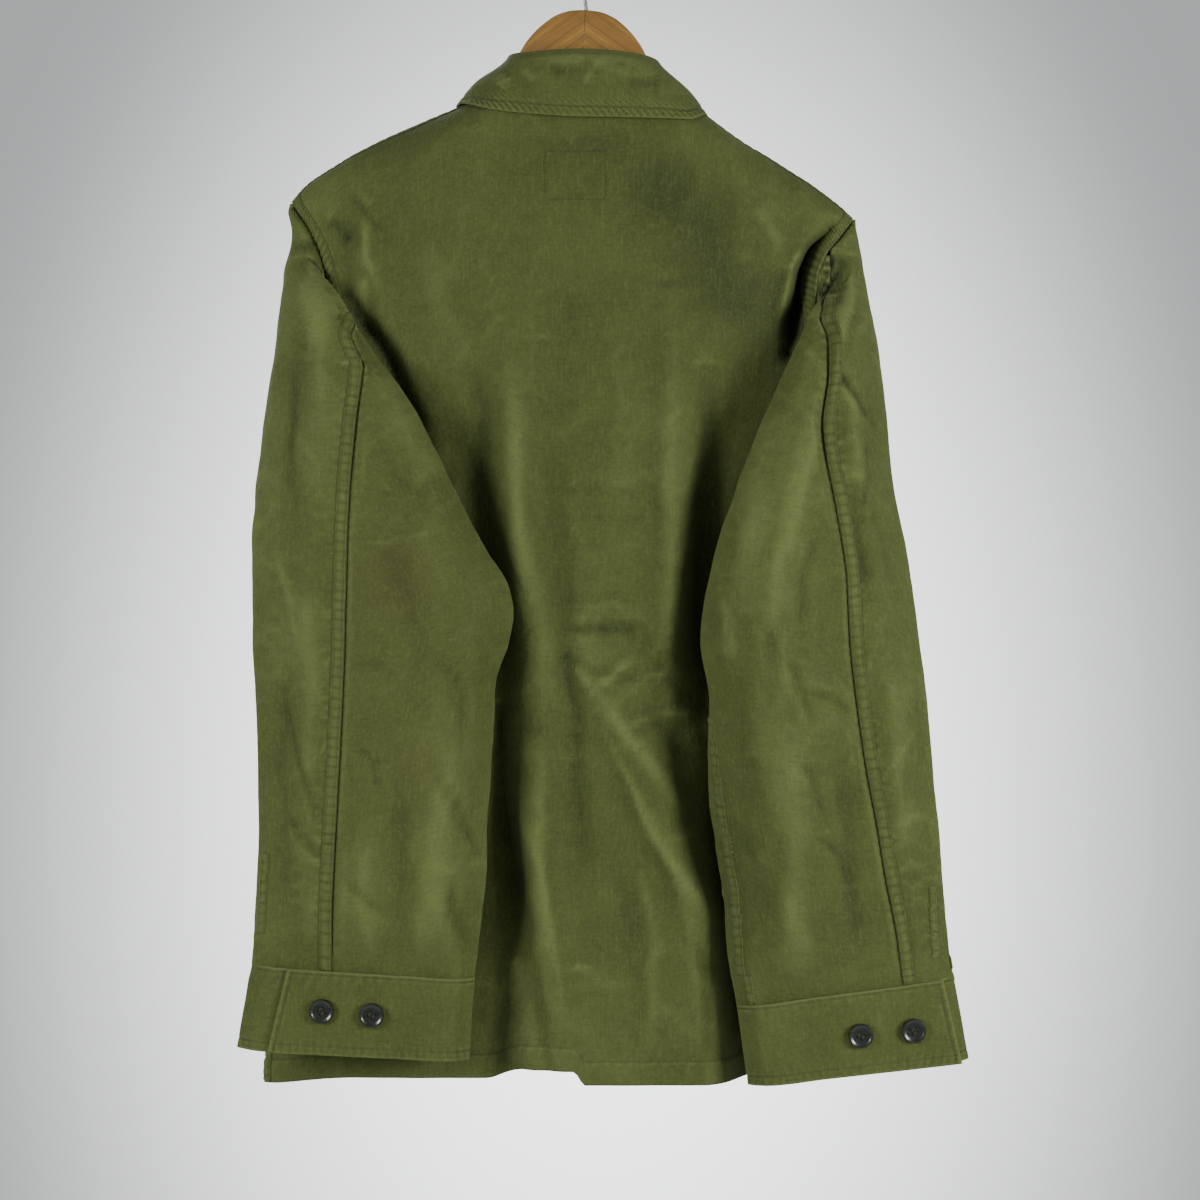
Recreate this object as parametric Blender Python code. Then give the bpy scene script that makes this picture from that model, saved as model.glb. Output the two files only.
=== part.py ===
"""A cotton bush jacket that hangs, buttoned, on a wooden hanger.

Units are metres and +Z is up. The origin is the seat of the hanger's hook. The jacket's front faces -Y and its
back faces +Y, so +X is the wearer's left. Every piece of cloth is one wall, mapped from a flat grid onto the
garment's surface, and its edges stop just short of the seams that it shares with its neighbours.
"""

import functools
import math
from typing import NamedTuple

import bmesh
import bpy
from mathutils import Matrix, Vector

# Driving dimensions of the cloth
CLOTH_WALL = 0.0014
DOUBLE_WALL = 0.0022
SEAM_SHRINK = 0.00028
SLEEVE_SHRINK = 0.0007
SHOULDER_ARCH = 0.030
NECK_HALF_WIDTH = 0.078
NECK_BACK_DEPTH = 0.030
NECK_FRONT_DEPTH = 0.034
NECK_BACK_Z = -0.131
NECK_FRONT_Z = -0.178
FRONT_OVERLAP = 0.015
FRONT_STEP = 0.0030
FRONT_HEM_Z = -0.899
FRONT_HEM_RISE = 0.011
BODY_ROWS = 24
BACK_NECK_COLUMNS = 18
FRONT_NECK_COLUMNS = 10
SIDE_COLUMNS = 10
ARCH_ROWS = 4
HEM_Z = -0.890
SLEEVE_CLEARANCE = 0.0040
COLLAR_CLEARANCE = 0.0034
COLLAR_FRONT_CLEARANCE = 0.0060

# Driving dimensions of the buttons
BUTTON_RADIUS = 0.00925
BUTTON_THICKNESS = 0.0034
BUTTON_RIM = 0.0012
FRONT_BUTTON_ZS = (-0.215, -0.345, -0.475, -0.605, -0.735)

# Driving dimensions of the hanger and its hook
HUMP_Z = -0.0602
HANGER_TILT = math.radians(2.5)
HANGER_HALF_THICKNESS = 0.0062
HANGER_EDGE = 0.0022
ARM_DEPTH = 0.026
WIRE_RADIUS = 0.0016
HOOK_BEND_RADIUS = 0.0185
HOOK_BEND_START = math.radians(118.0)
HOOK_BEND_ANGLE = math.radians(215.0)
HOOK_DEPTH_IN_WOOD = 0.018
HOOK_HOLE_RADIUS = 0.0019


class ShoulderRow(NamedTuple):
    """The height of a shoulder seam at a reach out from the middle."""

    reach: float
    z: float


class EdgeRow(NamedTuple):
    """How far the body reaches to one side at a height: its armhole, then its side seam."""

    z: float
    reach: float


class EdgeDepthRow(NamedTuple):
    """How far the body's side edges stand from the hanger's plane, at a drop below the shoulder point."""

    drop: float
    back: float
    front: float


class BodyRow(NamedTuple):
    """The body's depths at a height: at the middle of the back, under each sleeve, and at the front."""

    z: float
    back_middle: float
    back_left: float
    back_right: float
    left_bend: float
    right_bend: float
    front: float


class Fold(NamedTuple):
    """A long fold in the back: a ridge where its height is positive, and a trough where it is negative."""

    x_top: float
    z_top: float
    x_bottom: float
    z_bottom: float
    half_width: float
    height: float


class SleeveRow(NamedTuple):
    """A section of a sleeve: how far its two folds reach out, and how its layers lie over the back."""

    z: float
    inner: float
    outer: float
    outer_y: float
    under_y: float
    loft: float
    seam: float


class CuffSize(NamedTuple):
    """The corners of a flat cuff: heights at its inner and outer side, and reaches at its top and bottom."""

    top_inner_z: float
    top_outer_z: float
    bottom_inner_z: float
    bottom_outer_z: float
    inner_top: float
    inner_bottom: float
    end_top: float
    end_bottom: float
    fold_top: float
    fold_bottom: float
    under_y: float
    top_y: float


class CollarRow(NamedTuple):
    """The collar at an angle round the neck from the middle of the back: its fold and the edge of its fall."""

    angle: float
    fold_x: float
    fold_y: float
    fold_z: float
    edge_x: float
    edge_y: float
    edge_z: float


class HangerRow(NamedTuple):
    """The upper edge of one arm, from the top of the hump."""

    reach: float
    drop: float


SHOULDER_LEFT = (
    ShoulderRow(0.075, -0.1270),
    ShoulderRow(0.102, -0.1381),
    ShoulderRow(0.150, -0.1585),
    ShoulderRow(0.177, -0.1726),
    ShoulderRow(0.213, -0.1961),
    ShoulderRow(0.231, -0.2120),
)
SHOULDER_RIGHT = (
    ShoulderRow(0.075, -0.1330),
    ShoulderRow(0.095, -0.1460),
    ShoulderRow(0.121, -0.1648),
    ShoulderRow(0.144, -0.1773),
    ShoulderRow(0.186, -0.2048),
    ShoulderRow(0.211, -0.2255),
)

LEFT_EDGE = (
    EdgeRow(-0.212, 0.2290),
    EdgeRow(-0.235, 0.2130),
    EdgeRow(-0.257, 0.2036),
    EdgeRow(-0.300, 0.1960),
    EdgeRow(-0.350, 0.1960),
    EdgeRow(-0.400, 0.2070),
    EdgeRow(-0.440, 0.2320),
    EdgeRow(-0.500, 0.2390),
    EdgeRow(-0.600, 0.2420),
    EdgeRow(-0.750, 0.2430),
    EdgeRow(-0.890, 0.2510),
)
RIGHT_EDGE = (
    EdgeRow(-0.224, 0.2095),
    EdgeRow(-0.240, 0.1975),
    EdgeRow(-0.253, 0.1875),
    EdgeRow(-0.275, 0.1800),
    EdgeRow(-0.310, 0.1780),
    EdgeRow(-0.360, 0.1830),
    EdgeRow(-0.410, 0.1980),
    EdgeRow(-0.450, 0.2230),
    EdgeRow(-0.510, 0.2340),
    EdgeRow(-0.600, 0.2420),
    EdgeRow(-0.750, 0.2500),
    EdgeRow(-0.890, 0.2500),
)
EDGE_DEPTHS = (
    EdgeDepthRow(0.000, 0.0160, -0.0160),
    EdgeDepthRow(0.030, 0.0160, -0.0160),
    EdgeDepthRow(0.050, 0.0185, -0.0200),
    EdgeDepthRow(0.090, 0.0210, -0.0240),
    EdgeDepthRow(0.150, 0.0180, -0.0200),
    EdgeDepthRow(0.195, 0.0100, -0.0110),
    EdgeDepthRow(0.228, 0.0000, 0.0000),
)
BODY = (
    BodyRow(-0.13, 0.033, 0.024, 0.024, 0.10, 0.10, -0.036),
    BodyRow(-0.20, 0.035, 0.026, 0.026, 0.14, 0.14, -0.039),
    BodyRow(-0.28, 0.037, 0.028, 0.024, 0.13, 0.13, -0.040),
    BodyRow(-0.36, 0.038, 0.026, 0.020, 0.09, 0.10, -0.040),
    BodyRow(-0.45, 0.039, 0.022, 0.018, 0.07, 0.09, -0.042),
    BodyRow(-0.55, 0.041, 0.020, 0.018, 0.05, 0.08, -0.044),
    BodyRow(-0.68, 0.044, 0.020, 0.019, 0.05, 0.08, -0.046),
    BodyRow(-0.78, 0.046, 0.021, 0.020, 0.05, 0.10, -0.047),
    BodyRow(-0.89, 0.048, 0.022, 0.022, 0.05, 0.11, -0.048),
)
BEND_HALF_WIDTH = 0.020

FOLDS = (
    Fold(0.060, -0.30, 0.046, -0.62, 0.012, 0.006),
    Fold(0.046, -0.62, 0.036, -0.86, 0.011, 0.005),
    Fold(0.034, -0.32, 0.010, -0.64, 0.012, -0.007),
    Fold(0.012, -0.62, 0.004, -0.80, 0.013, -0.008),
    Fold(-0.066, -0.28, -0.066, -0.56, 0.012, 0.006),
    Fold(-0.094, -0.34, -0.096, -0.62, 0.012, -0.010),
    Fold(-0.012, -0.59, -0.098, -0.80, 0.014, 0.007),
    Fold(-0.060, -0.58, -0.078, -0.70, 0.016, -0.010),
    Fold(0.066, -0.60, 0.052, -0.80, 0.010, -0.010),
    Fold(0.062, -0.67, 0.026, -0.90, 0.010, -0.008),
    Fold(-0.103, -0.62, -0.132, -0.93, 0.012, -0.018),
)

LEFT_SLEEVE = (
    SleeveRow(-0.214, 0.2270, 0.2312, 0.000, 0.012, 0.004, 0.2280),
    SleeveRow(-0.234, 0.2140, 0.2285, 0.000, 0.018, 0.006, 0.2160),
    SleeveRow(-0.264, 0.1985, 0.2345, 0.003, 0.024, 0.010, 0.2020),
    SleeveRow(-0.304, 0.1782, 0.2385, 0.008, 0.030, 0.018, 0.1780),
    SleeveRow(-0.340, 0.1551, 0.2420, 0.014, 0.032, 0.026, 0.1680),
    SleeveRow(-0.385, 0.1252, 0.2465, 0.022, 0.032, 0.034, 0.1720),
    SleeveRow(-0.442, 0.0964, 0.2510, 0.034, 0.031, 0.040, 0.1765),
    SleeveRow(-0.484, 0.0750, 0.2514, 0.042, 0.030, 0.044, 0.1780),
    SleeveRow(-0.512, 0.0575, 0.2515, 0.046, 0.030, 0.045, 0.1785),
    SleeveRow(-0.530, 0.0544, 0.2516, 0.047, 0.031, 0.045, 0.1790),
    SleeveRow(-0.555, 0.0572, 0.2516, 0.048, 0.032, 0.044, 0.1795),
    SleeveRow(-0.582, 0.0662, 0.2505, 0.049, 0.033, 0.043, 0.1805),
    SleeveRow(-0.623, 0.0686, 0.2495, 0.050, 0.034, 0.041, 0.1825),
    SleeveRow(-0.684, 0.0746, 0.2475, 0.051, 0.035, 0.038, 0.1860),
    SleeveRow(-0.727, 0.0768, 0.2470, 0.052, 0.036, 0.034, 0.1885),
    SleeveRow(-0.761, 0.0797, 0.2480, 0.053, 0.038, 0.030, 0.1900),
    SleeveRow(-0.803, 0.0838, 0.2520, 0.055, 0.042, 0.024, 0.1905),
)
RIGHT_SLEEVE = (
    SleeveRow(-0.226, 0.2080, 0.2112, 0.000, 0.012, 0.004, 0.2085),
    SleeveRow(-0.252, 0.1880, 0.2155, 0.000, 0.018, 0.006, 0.1900),
    SleeveRow(-0.290, 0.1766, 0.2198, 0.005, 0.026, 0.014, 0.1770),
    SleeveRow(-0.320, 0.1656, 0.2245, 0.010, 0.030, 0.020, 0.1853),
    SleeveRow(-0.350, 0.1509, 0.2286, 0.014, 0.031, 0.026, 0.1845),
    SleeveRow(-0.391, 0.1342, 0.2340, 0.022, 0.031, 0.034, 0.1790),
    SleeveRow(-0.444, 0.1154, 0.2400, 0.032, 0.030, 0.041, 0.1870),
    SleeveRow(-0.475, 0.1024, 0.2445, 0.040, 0.030, 0.045, 0.1920),
    SleeveRow(-0.502, 0.0954, 0.2480, 0.045, 0.031, 0.047, 0.1955),
    SleeveRow(-0.554, 0.0877, 0.2540, 0.049, 0.032, 0.048, 0.1980),
    SleeveRow(-0.598, 0.0950, 0.2585, 0.050, 0.033, 0.046, 0.2030),
    SleeveRow(-0.651, 0.0944, 0.2635, 0.051, 0.034, 0.042, 0.2110),
    SleeveRow(-0.692, 0.0966, 0.2670, 0.052, 0.035, 0.038, 0.2190),
    SleeveRow(-0.732, 0.1041, 0.2700, 0.053, 0.036, 0.034, 0.2255),
    SleeveRow(-0.776, 0.1080, 0.2745, 0.054, 0.040, 0.028, 0.2340),
    SleeveRow(-0.817, 0.1150, 0.2800, 0.056, 0.043, 0.025, 0.2390),
)

LEFT_CUFF = CuffSize(
    top_inner_z=-0.8075,
    top_outer_z=-0.7970,
    bottom_inner_z=-0.8690,
    bottom_outer_z=-0.8605,
    inner_top=0.0835,
    inner_bottom=0.0880,
    end_top=0.2235,
    end_bottom=0.2385,
    fold_top=0.2525,
    fold_bottom=0.2637,
    under_y=0.0420,
    top_y=0.0660,
)
RIGHT_CUFF = CuffSize(
    top_inner_z=-0.8275,
    top_outer_z=-0.8055,
    bottom_inner_z=-0.8885,
    bottom_outer_z=-0.8695,
    inner_top=0.1160,
    inner_bottom=0.1240,
    end_top=0.2690,
    end_bottom=0.2830,
    fold_top=0.2795,
    fold_bottom=0.2910,
    under_y=0.0430,
    top_y=0.0680,
)

COLLAR = (
    CollarRow(-180.0, -0.006, -0.047, -0.172, -0.050, -0.055, -0.243),
    CollarRow(-145.0, -0.036, -0.040, -0.150, -0.083, -0.048, -0.220),
    CollarRow(-115.0, -0.052, -0.020, -0.118, -0.100, -0.034, -0.184),
    CollarRow(-90.0, -0.0565, 0.000, -0.1010, -0.0965, 0.000, -0.1425),
    CollarRow(-50.0, -0.045, 0.024, -0.1010, -0.078, 0.034, -0.1525),
    CollarRow(0.0, 0.000, 0.038, -0.1000, 0.000, 0.041, -0.1520),
    CollarRow(50.0, 0.046, 0.024, -0.0985, 0.069, 0.034, -0.1450),
    CollarRow(90.0, 0.0595, 0.000, -0.0955, 0.1010, 0.000, -0.1335),
    CollarRow(115.0, 0.054, -0.020, -0.115, 0.104, -0.034, -0.178),
    CollarRow(145.0, 0.037, -0.040, -0.149, 0.086, -0.048, -0.216),
    CollarRow(180.0, 0.006, -0.047, -0.171, 0.052, -0.055, -0.241),
)

HANGER_TOP = (
    HangerRow(0.0000, 0.0000),
    HangerRow(0.0110, 0.0010),
    HangerRow(0.0220, 0.0048),
    HangerRow(0.0325, 0.0125),
    HangerRow(0.0430, 0.0240),
    HangerRow(0.0505, 0.0370),
    HangerRow(0.0545, 0.0500),
    HangerRow(0.0600, 0.0635),
    HangerRow(0.0660, 0.0760),
    HangerRow(0.0780, 0.0840),
    HangerRow(0.1000, 0.0895),
    HangerRow(0.1500, 0.1150),
    HangerRow(0.1930, 0.1420),
)

COTTON = "#5A6138"
BEECH = "#A08452"
STEEL = "#A9A9A6"
HORN = "#20241D"


def smooth(place):
    """A soft step from 0 to 1 as place goes from 0 to 1."""
    place = min(max(place, 0.0), 1.0)
    return place * place * (3.0 - 2.0 * place)


class Profile:
    """A smooth curve through rows of (place, value), level beyond its ends and with no overshoot."""

    def __init__(self, rows):
        rows = sorted(rows)
        self.places = [row[0] for row in rows]
        self.values = [row[1] for row in rows]
        steps = [
            (self.values[i + 1] - self.values[i]) / (self.places[i + 1] - self.places[i])
            for i in range(len(rows) - 1)
        ]
        inner = [
            2.0 * a * b / (a + b) if a * b > 0.0 else 0.0 for a, b in zip(steps, steps[1:])
        ]
        self.slopes = [steps[0], *inner, steps[-1]]

    def __call__(self, place):
        if place <= self.places[0]:
            return self.values[0]
        if place >= self.places[-1]:
            return self.values[-1]
        i = max(k for k in range(len(self.places) - 1) if self.places[k] <= place)
        span = self.places[i + 1] - self.places[i]
        t = (place - self.places[i]) / span
        return (
            (1 + 2 * t) * (1 - t) ** 2 * self.values[i]
            + t * (1 - t) ** 2 * span * self.slopes[i]
            + t * t * (3 - 2 * t) * self.values[i + 1]
            + t * t * (t - 1) * span * self.slopes[i + 1]
        )


class Path:
    """A smooth curve through points, read at a place that is counted in points."""

    def __init__(self, points):
        self.points = points
        spans = [max((b - a).length, 1e-6) for a, b in zip(points, points[1:])]
        speeds = [(b - a) / span for a, b, span in zip(points, points[1:], spans)]
        inner = [
            (speeds[i] * spans[i + 1] + speeds[i + 1] * spans[i]) / (spans[i] + spans[i + 1])
            for i in range(len(spans) - 1)
        ]
        self.spans = spans
        self.speeds = [speeds[0], *inner, speeds[-1]]

    def __call__(self, place):
        place = min(max(place, 0.0), len(self.points) - 1.0)
        i = min(int(place), len(self.points) - 2)
        t = place - i
        span = self.spans[i]
        return (
            self.points[i] * ((1 + 2 * t) * (1 - t) ** 2)
            + self.speeds[i] * (t * (1 - t) ** 2 * span)
            + self.points[i + 1] * (t * t * (3 - 2 * t))
            + self.speeds[i + 1] * (t * t * (t - 1) * span)
        )


class Body:
    """The jacket's body: where its outer surface lies, front and back."""

    def __init__(self):
        self.shoulders = {1: Profile(SHOULDER_LEFT), -1: Profile(SHOULDER_RIGHT)}
        self.edges = {1: Profile(LEFT_EDGE), -1: Profile(RIGHT_EDGE)}
        self.points_z = {1: LEFT_EDGE[0].z, -1: RIGHT_EDGE[0].z}
        self.edge_back = Profile([(row.drop, row.back) for row in EDGE_DEPTHS])
        self.edge_front = Profile([(row.drop, row.front) for row in EDGE_DEPTHS])
        self.columns = {
            name: Profile([(row.z, getattr(row, name)) for row in BODY])
            for name in BodyRow._fields[1:]
        }

    def shoulder_z(self, x):
        """The height of the shoulder seam at x."""
        side = 1 if x >= 0.0 else -1
        return self.shoulders[side](abs(x))

    def top_z(self, x, back):
        """The height of a panel's upper edge at x: the neck seam, then the shoulder seam."""
        if abs(x) >= NECK_HALF_WIDTH:
            return self.shoulder_z(x)
        across = x / NECK_HALF_WIDTH
        corner = self.shoulder_z(math.copysign(NECK_HALF_WIDTH, x))
        middle = NECK_BACK_Z if back else NECK_FRONT_Z
        return middle + (corner - middle) * (1.0 - math.sqrt(1.0 - across * across) ** 1.3)

    def top_y(self, x, back):
        """How far the upper edge stands out at x: round the neck, then nothing along the shoulder."""
        across = min(abs(x) / NECK_HALF_WIDTH, 1.0)
        if back:
            return NECK_BACK_DEPTH * math.sqrt(1.0 - across * across)
        return -NECK_FRONT_DEPTH * (1.0 - across * across) ** 0.38

    def reach(self, side, z):
        """How far the panels reach to one side at a height."""
        return self.edges[side](z)

    def folds(self, x, z):
        """How far the back's long folds move its surface out."""
        total = 0.0
        for fold in FOLDS:
            along = (fold.z_top - z) / (fold.z_top - fold.z_bottom)
            if not 0.0 < along < 1.0:
                continue
            centre = fold.x_top + (fold.x_bottom - fold.x_top) * along
            across = (x - centre) / fold.half_width
            total += fold.height * math.sin(math.pi * along) ** 0.6 * math.exp(-across * across)
        return total

    def depth(self, x, z, back):
        """The Y of the outer surface at x and z, on the back or on the front."""
        side = 1 if x >= 0.0 else -1
        edge = self.reach(side, z)
        across = min(abs(x) / edge, 1.0)
        drop = self.points_z[side] - z
        if back:
            bend = self.columns["left_bend" if side > 0 else "right_bend"](z)
            under = self.columns["back_left" if side > 0 else "back_right"](z)
            middle = self.columns["back_middle"](z)
            past = smooth((abs(x) - bend + BEND_HALF_WIDTH) / (2.0 * BEND_HALF_WIDTH))
            depth = middle + (under - middle) * past
            depth += self.folds(x, z) * (1.0 - across**6)
            edge_y = self.edge_back(drop)
        else:
            depth = self.columns["front"](z)
            depth += 0.004 * math.sin(58.0 * x + 3.0 * z) * smooth((-z - 0.30) / 0.2)
            depth *= 1.0 - 0.35 * across**3
            edge_y = self.edge_front(drop)
        rounded = math.sqrt(max(1.0 - across**5, 0.0))
        depth = edge_y + (depth - edge_y) * rounded
        fall = min(max((self.top_z(x, back) - z) / SHOULDER_ARCH, 0.0), 1.0)
        arch = math.sqrt(1.0 - (1.0 - fall) ** 2)
        top = self.top_y(x, back)
        return top + (depth - top) * arch

    def hem_z(self, x, back):
        """The height of the hem at x."""
        if not back:
            return FRONT_HEM_Z + FRONT_HEM_RISE * smooth((-0.12 - x) / 0.06)
        tuck = smooth(x / 0.008) * smooth((0.070 - x) / 0.030)
        return HEM_Z - 0.0005 + 0.0105 * tuck + 0.006 * smooth((-0.10 - x) / 0.03)

    def row_z(self, top, row):
        """The height of a row of a panel whose upper edge is at top, down to the even hem. The first rows
        follow the arch over the shoulder, so that panels which share a seam have their rows at one height."""
        if row <= ARCH_ROWS:
            return top - SHOULDER_ARCH * (1.0 - math.cos(0.5 * math.pi * row / ARCH_ROWS))
        start = top - SHOULDER_ARCH
        return start + (HEM_Z - start) * (row - ARCH_ROWS) / (BODY_ROWS - ARCH_ROWS)

    def panel_z(self, x, v, back):
        """The height at v down a panel, in the column whose upper end is at x."""
        level = self.row_z(self.top_z(x, back), BODY_ROWS * v)
        return level + (self.hem_z(x, back) - HEM_Z) * smooth((v - 0.75) / 0.25)


BODY_FORM = Body()


def side_place(share, side):
    """A column's distance from the middle at the top, at a share of the way from the neck corner to the edge."""
    width = BODY_FORM.reach(side, BODY_FORM.points_z[side])
    eased = 0.5 * share + 0.5 * math.sin(0.5 * math.pi * share)
    return NECK_HALF_WIDTH + (width - NECK_HALF_WIDTH) * eased


def back_surface(u, v):
    """The back at u across, from the right seam to the left one, and v down."""
    column = (2.0 * u - 1.0) * (0.5 * BACK_NECK_COLUMNS + SIDE_COLUMNS)
    side = 1 if column >= 0.0 else -1
    past = abs(column) - 0.5 * BACK_NECK_COLUMNS
    if past > 0.0:
        first = side * side_place(past / SIDE_COLUMNS, side)
    else:
        first = NECK_HALF_WIDTH * math.sin(math.pi * column / BACK_NECK_COLUMNS)
    z = BODY_FORM.panel_z(first, v, back=True)
    x = first * BODY_FORM.reach(side, z) / BODY_FORM.reach(side, BODY_FORM.points_z[side])
    return Vector((x, BODY_FORM.depth(x, z, back=True), z))


def front_surface(side, u, v):
    """One front at u across, from its centre edge to its seam, and v down. The right front lies underneath."""
    column = u * (FRONT_NECK_COLUMNS + SIDE_COLUMNS)
    if column > FRONT_NECK_COLUMNS:
        first = side_place((column - FRONT_NECK_COLUMNS) / SIDE_COLUMNS, side)
    elif column > 1.0:
        first = NECK_HALF_WIDTH * math.sin(0.5 * math.pi * (column - 1.0) / (FRONT_NECK_COLUMNS - 1.0))
    else:
        first = (column - 1.0) * FRONT_OVERLAP
    z = BODY_FORM.panel_z(side * first, v, back=False)
    width = BODY_FORM.reach(side, BODY_FORM.points_z[side]) + FRONT_OVERLAP
    x = side * ((first + FRONT_OVERLAP) / width * (BODY_FORM.reach(side, z) + FRONT_OVERLAP) - FRONT_OVERLAP)
    y = BODY_FORM.depth(x, z, back=False)
    if side < 0:
        y += FRONT_STEP * smooth((x + 3.0 * FRONT_OVERLAP) / (1.6 * FRONT_OVERLAP))
    return Vector((x, y, z))


class Sleeve:
    """One sleeve, in coordinates where X is how far out it reaches. Its sections start and end at the armhole,
    and below the armhole at the underarm seam."""

    BACK_SEAM = 7
    LAST = 12
    PLAIN_TURNS = (0.0, 0.02, 0.04, 0.06, 0.09, 0.12, 0.17, 0.23, 0.31, 0.40, 0.50, 0.74, 1.0)

    def __init__(self, side, rows, cuff, seam_start, underarm_inner_z):
        self.side = side
        self.cuff = cuff
        self.rows = {
            name: Profile([(row.z, getattr(row, name)) for row in rows])
            for name in SleeveRow._fields[1:]
        }
        self.point_z = BODY_FORM.points_z[side]
        self.underarm_z = self.point_z - EDGE_DEPTHS[-1].drop
        self.seam_start = seam_start
        self.underarm_inner_z = underarm_inner_z
        self.tilt = (cuff.top_outer_z - cuff.top_inner_z) / (cuff.fold_top - cuff.inner_top)
        middle = 0.5 * (cuff.fold_top + cuff.inner_top)
        self.last_z = cuff.top_inner_z + self.tilt * (middle - cuff.inner_top)
        self.section = functools.lru_cache(maxsize=None)(self._section)
        self.heights = self._heights()

    def _heights(self):
        """The rows' heights: the body's own while they last, and the last one at the cuff."""
        heights = []
        row = 1
        while BODY_FORM.row_z(self.point_z, row) > self.last_z + 0.012:
            heights.append(BODY_FORM.row_z(self.point_z, row))
            row += 1
        return heights + [self.last_z]

    def first_under_row(self):
        """The first row that the under sleeve reaches."""
        return min(k for k, z in enumerate(self.heights) if z < self.seam_start - 0.003)

    def height(self, row):
        """The height at a row, counted from the first one."""
        below = min(int(row), len(self.heights) - 2)
        share = row - below
        return self.heights[below] * (1.0 - share) + self.heights[below + 1] * share

    def _ends(self, z):
        """Where a section starts and ends: on the two armhole edges, or on the underarm seam."""
        drop = self.point_z - z
        if z > self.underarm_z:
            reach = BODY_FORM.reach(self.side, z)
            arch = math.sqrt(1.0 - (1.0 - min(drop / SHOULDER_ARCH, 1.0)) ** 2)
            back = BODY_FORM.edge_back(drop) * arch
            front = BODY_FORM.edge_front(drop) * arch
            return Vector((reach, back, 0.0)), Vector((reach, front, 0.0))
        below = self.underarm_z - z
        inward = smooth((below - 0.035) / (self.underarm_z - 0.035 - self.underarm_inner_z))
        start = BODY_FORM.reach(self.side, self.underarm_z)
        start += 0.0080 * smooth(below / 0.03)
        x = start + (self.rows["inner"](z) + 0.034 - start) * inward
        y = self.rows["under_y"](z) * smooth(below / 0.032)
        return Vector((x, y, 0.0)), Vector((x, y, 0.0))

    def _section(self, z):
        """The section's path at this height."""
        start, end = self._ends(z)
        row = {name: profile(z) for name, profile in self.rows.items()}
        inner, outer, under, loft = row["inner"], row["outer"], row["under_y"], row["loft"]
        top = under + loft
        fold = min(0.011, 0.30 * loft + 0.001)
        width = outer - inner
        closed = smooth((self.underarm_z - z) / 0.034)
        over = max(start.x - inner, 0.0)
        bulge = smooth(over / 0.010)
        rise = max(under - start.y, 0.004)
        lower = Vector((inner + min(1.2 * fold, 0.35 * over), under + 0.06 * loft, 0.0))
        turn = (
            Vector((start.x + 0.0020 * bulge, start.y + min(0.40 * rise, 0.0045), 0.0)),
            Vector((start.x + 0.0005 * bulge, start.y + 0.85 * rise, 0.0)),
            Vector((inner + 0.65 * over, under, 0.0)),
        )
        straight = [start.lerp(lower, share) for share in (0.25, 0.50, 0.75)]
        folded = [start, *(a.lerp(b, closed) for a, b in zip(turn, straight))]
        crest = inner + 1.3 * fold
        seam = max(row["seam"], crest + 0.003)
        folded += [
            lower,
            Vector((inner, under + 0.5 * loft, 0.0)),
            Vector((crest, top - 0.08 * loft, 0.0)),
            Vector((seam, top, 0.0)),
            Vector((seam + 0.45 * (outer - seam), top - 0.05 * loft, 0.0)),
            Vector((outer - 0.09 * width, 0.55 * top + 0.45 * row["outer_y"], 0.0)),
            Vector((outer, row["outer_y"], 0.0)),
        ]
        low_y = 0.7 * end.y + 0.3 * row["outer_y"] - 0.006
        hanging_low = Vector((end.x + 0.75 * (outer - end.x), low_y, 0.0))
        low_x = max(outer - 0.07 * width, end.x + 0.58 * (outer - end.x))
        folded_low = Vector((low_x, under + 0.12 * loft, 0.0))
        folded += [hanging_low.lerp(folded_low, closed), end]
        hanging = smooth((self.point_z - 0.032 - z) / 0.05)
        plain = self._plain(start, folded[10], end)
        return Path([a.lerp(b, hanging) for a, b in zip(plain, folded)])

    def _plain(self, start, outer, end):
        """A section near the shoulder point, where the cloth goes straight over from edge to edge."""
        points = []
        for turn in self.PLAIN_TURNS:
            angle = math.pi * turn
            y = 0.5 * (start.y + end.y) + 0.5 * (start.y - end.y) * math.cos(angle)
            points.append(Vector((start.x + (outer.x - start.x) * math.sin(angle) ** 0.7, y, 0.0)))
        points[0], points[-1] = start.copy(), end.copy()
        return points

    def back_seam(self, z):
        """Where the back seam crosses a section: it leaves the armhole and runs round onto the outer layer."""
        left = 1.0 - min(max((self.seam_start - z) / 0.080, 0.0), 1.0)
        return self.BACK_SEAM * (1.0 - left * left)

    def point(self, place, z):
        """The point on the sleeve's outer side at a place along the section at this height."""
        flat = self.section(round(z, 7))(place)
        y = flat.y
        if flat.x < BODY_FORM.reach(self.side, z) + 0.002:
            clear = BODY_FORM.depth(self.side * flat.x, z, back=True) + SLEEVE_CLEARANCE
            hold = smooth(0.5 * place) * smooth(self.LAST - 0.4 - place)
            hold = max(hold, smooth((self.underarm_z - z) / 0.012))
            hold *= smooth((self.point_z - 0.040 - z) / 0.010)
            y += hold * max(clear - y, 0.0)
        slant = self.tilt * smooth((-0.62 - z) / 0.17)
        centre = 0.5 * (self.cuff.fold_top + self.cuff.inner_top)
        drop = self.point_z - z
        crown = drop * smooth((0.006 - drop) / 0.003) * math.sin(math.pi * min(place / self.LAST, 0.999))
        return Vector((flat.x, y, z + slant * (flat.x - centre) + 0.85 * crown))

    def top_piece(self, u, v):
        """The outer half, from the back seam round the outer fold: u across and v down."""
        z = self.height((len(self.heights) - 1) * v)
        start = self.back_seam(z)
        return self.point(start + (self.LAST - start) * u, z)

    def under_piece(self, u, v):
        """The inner half, from the underarm seam round the inner fold to the back seam: u across and v down."""
        first = self.first_under_row()
        z = self.height(first + (len(self.heights) - 1 - first) * v)
        return self.point(self.back_seam(z) * u, z)


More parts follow.
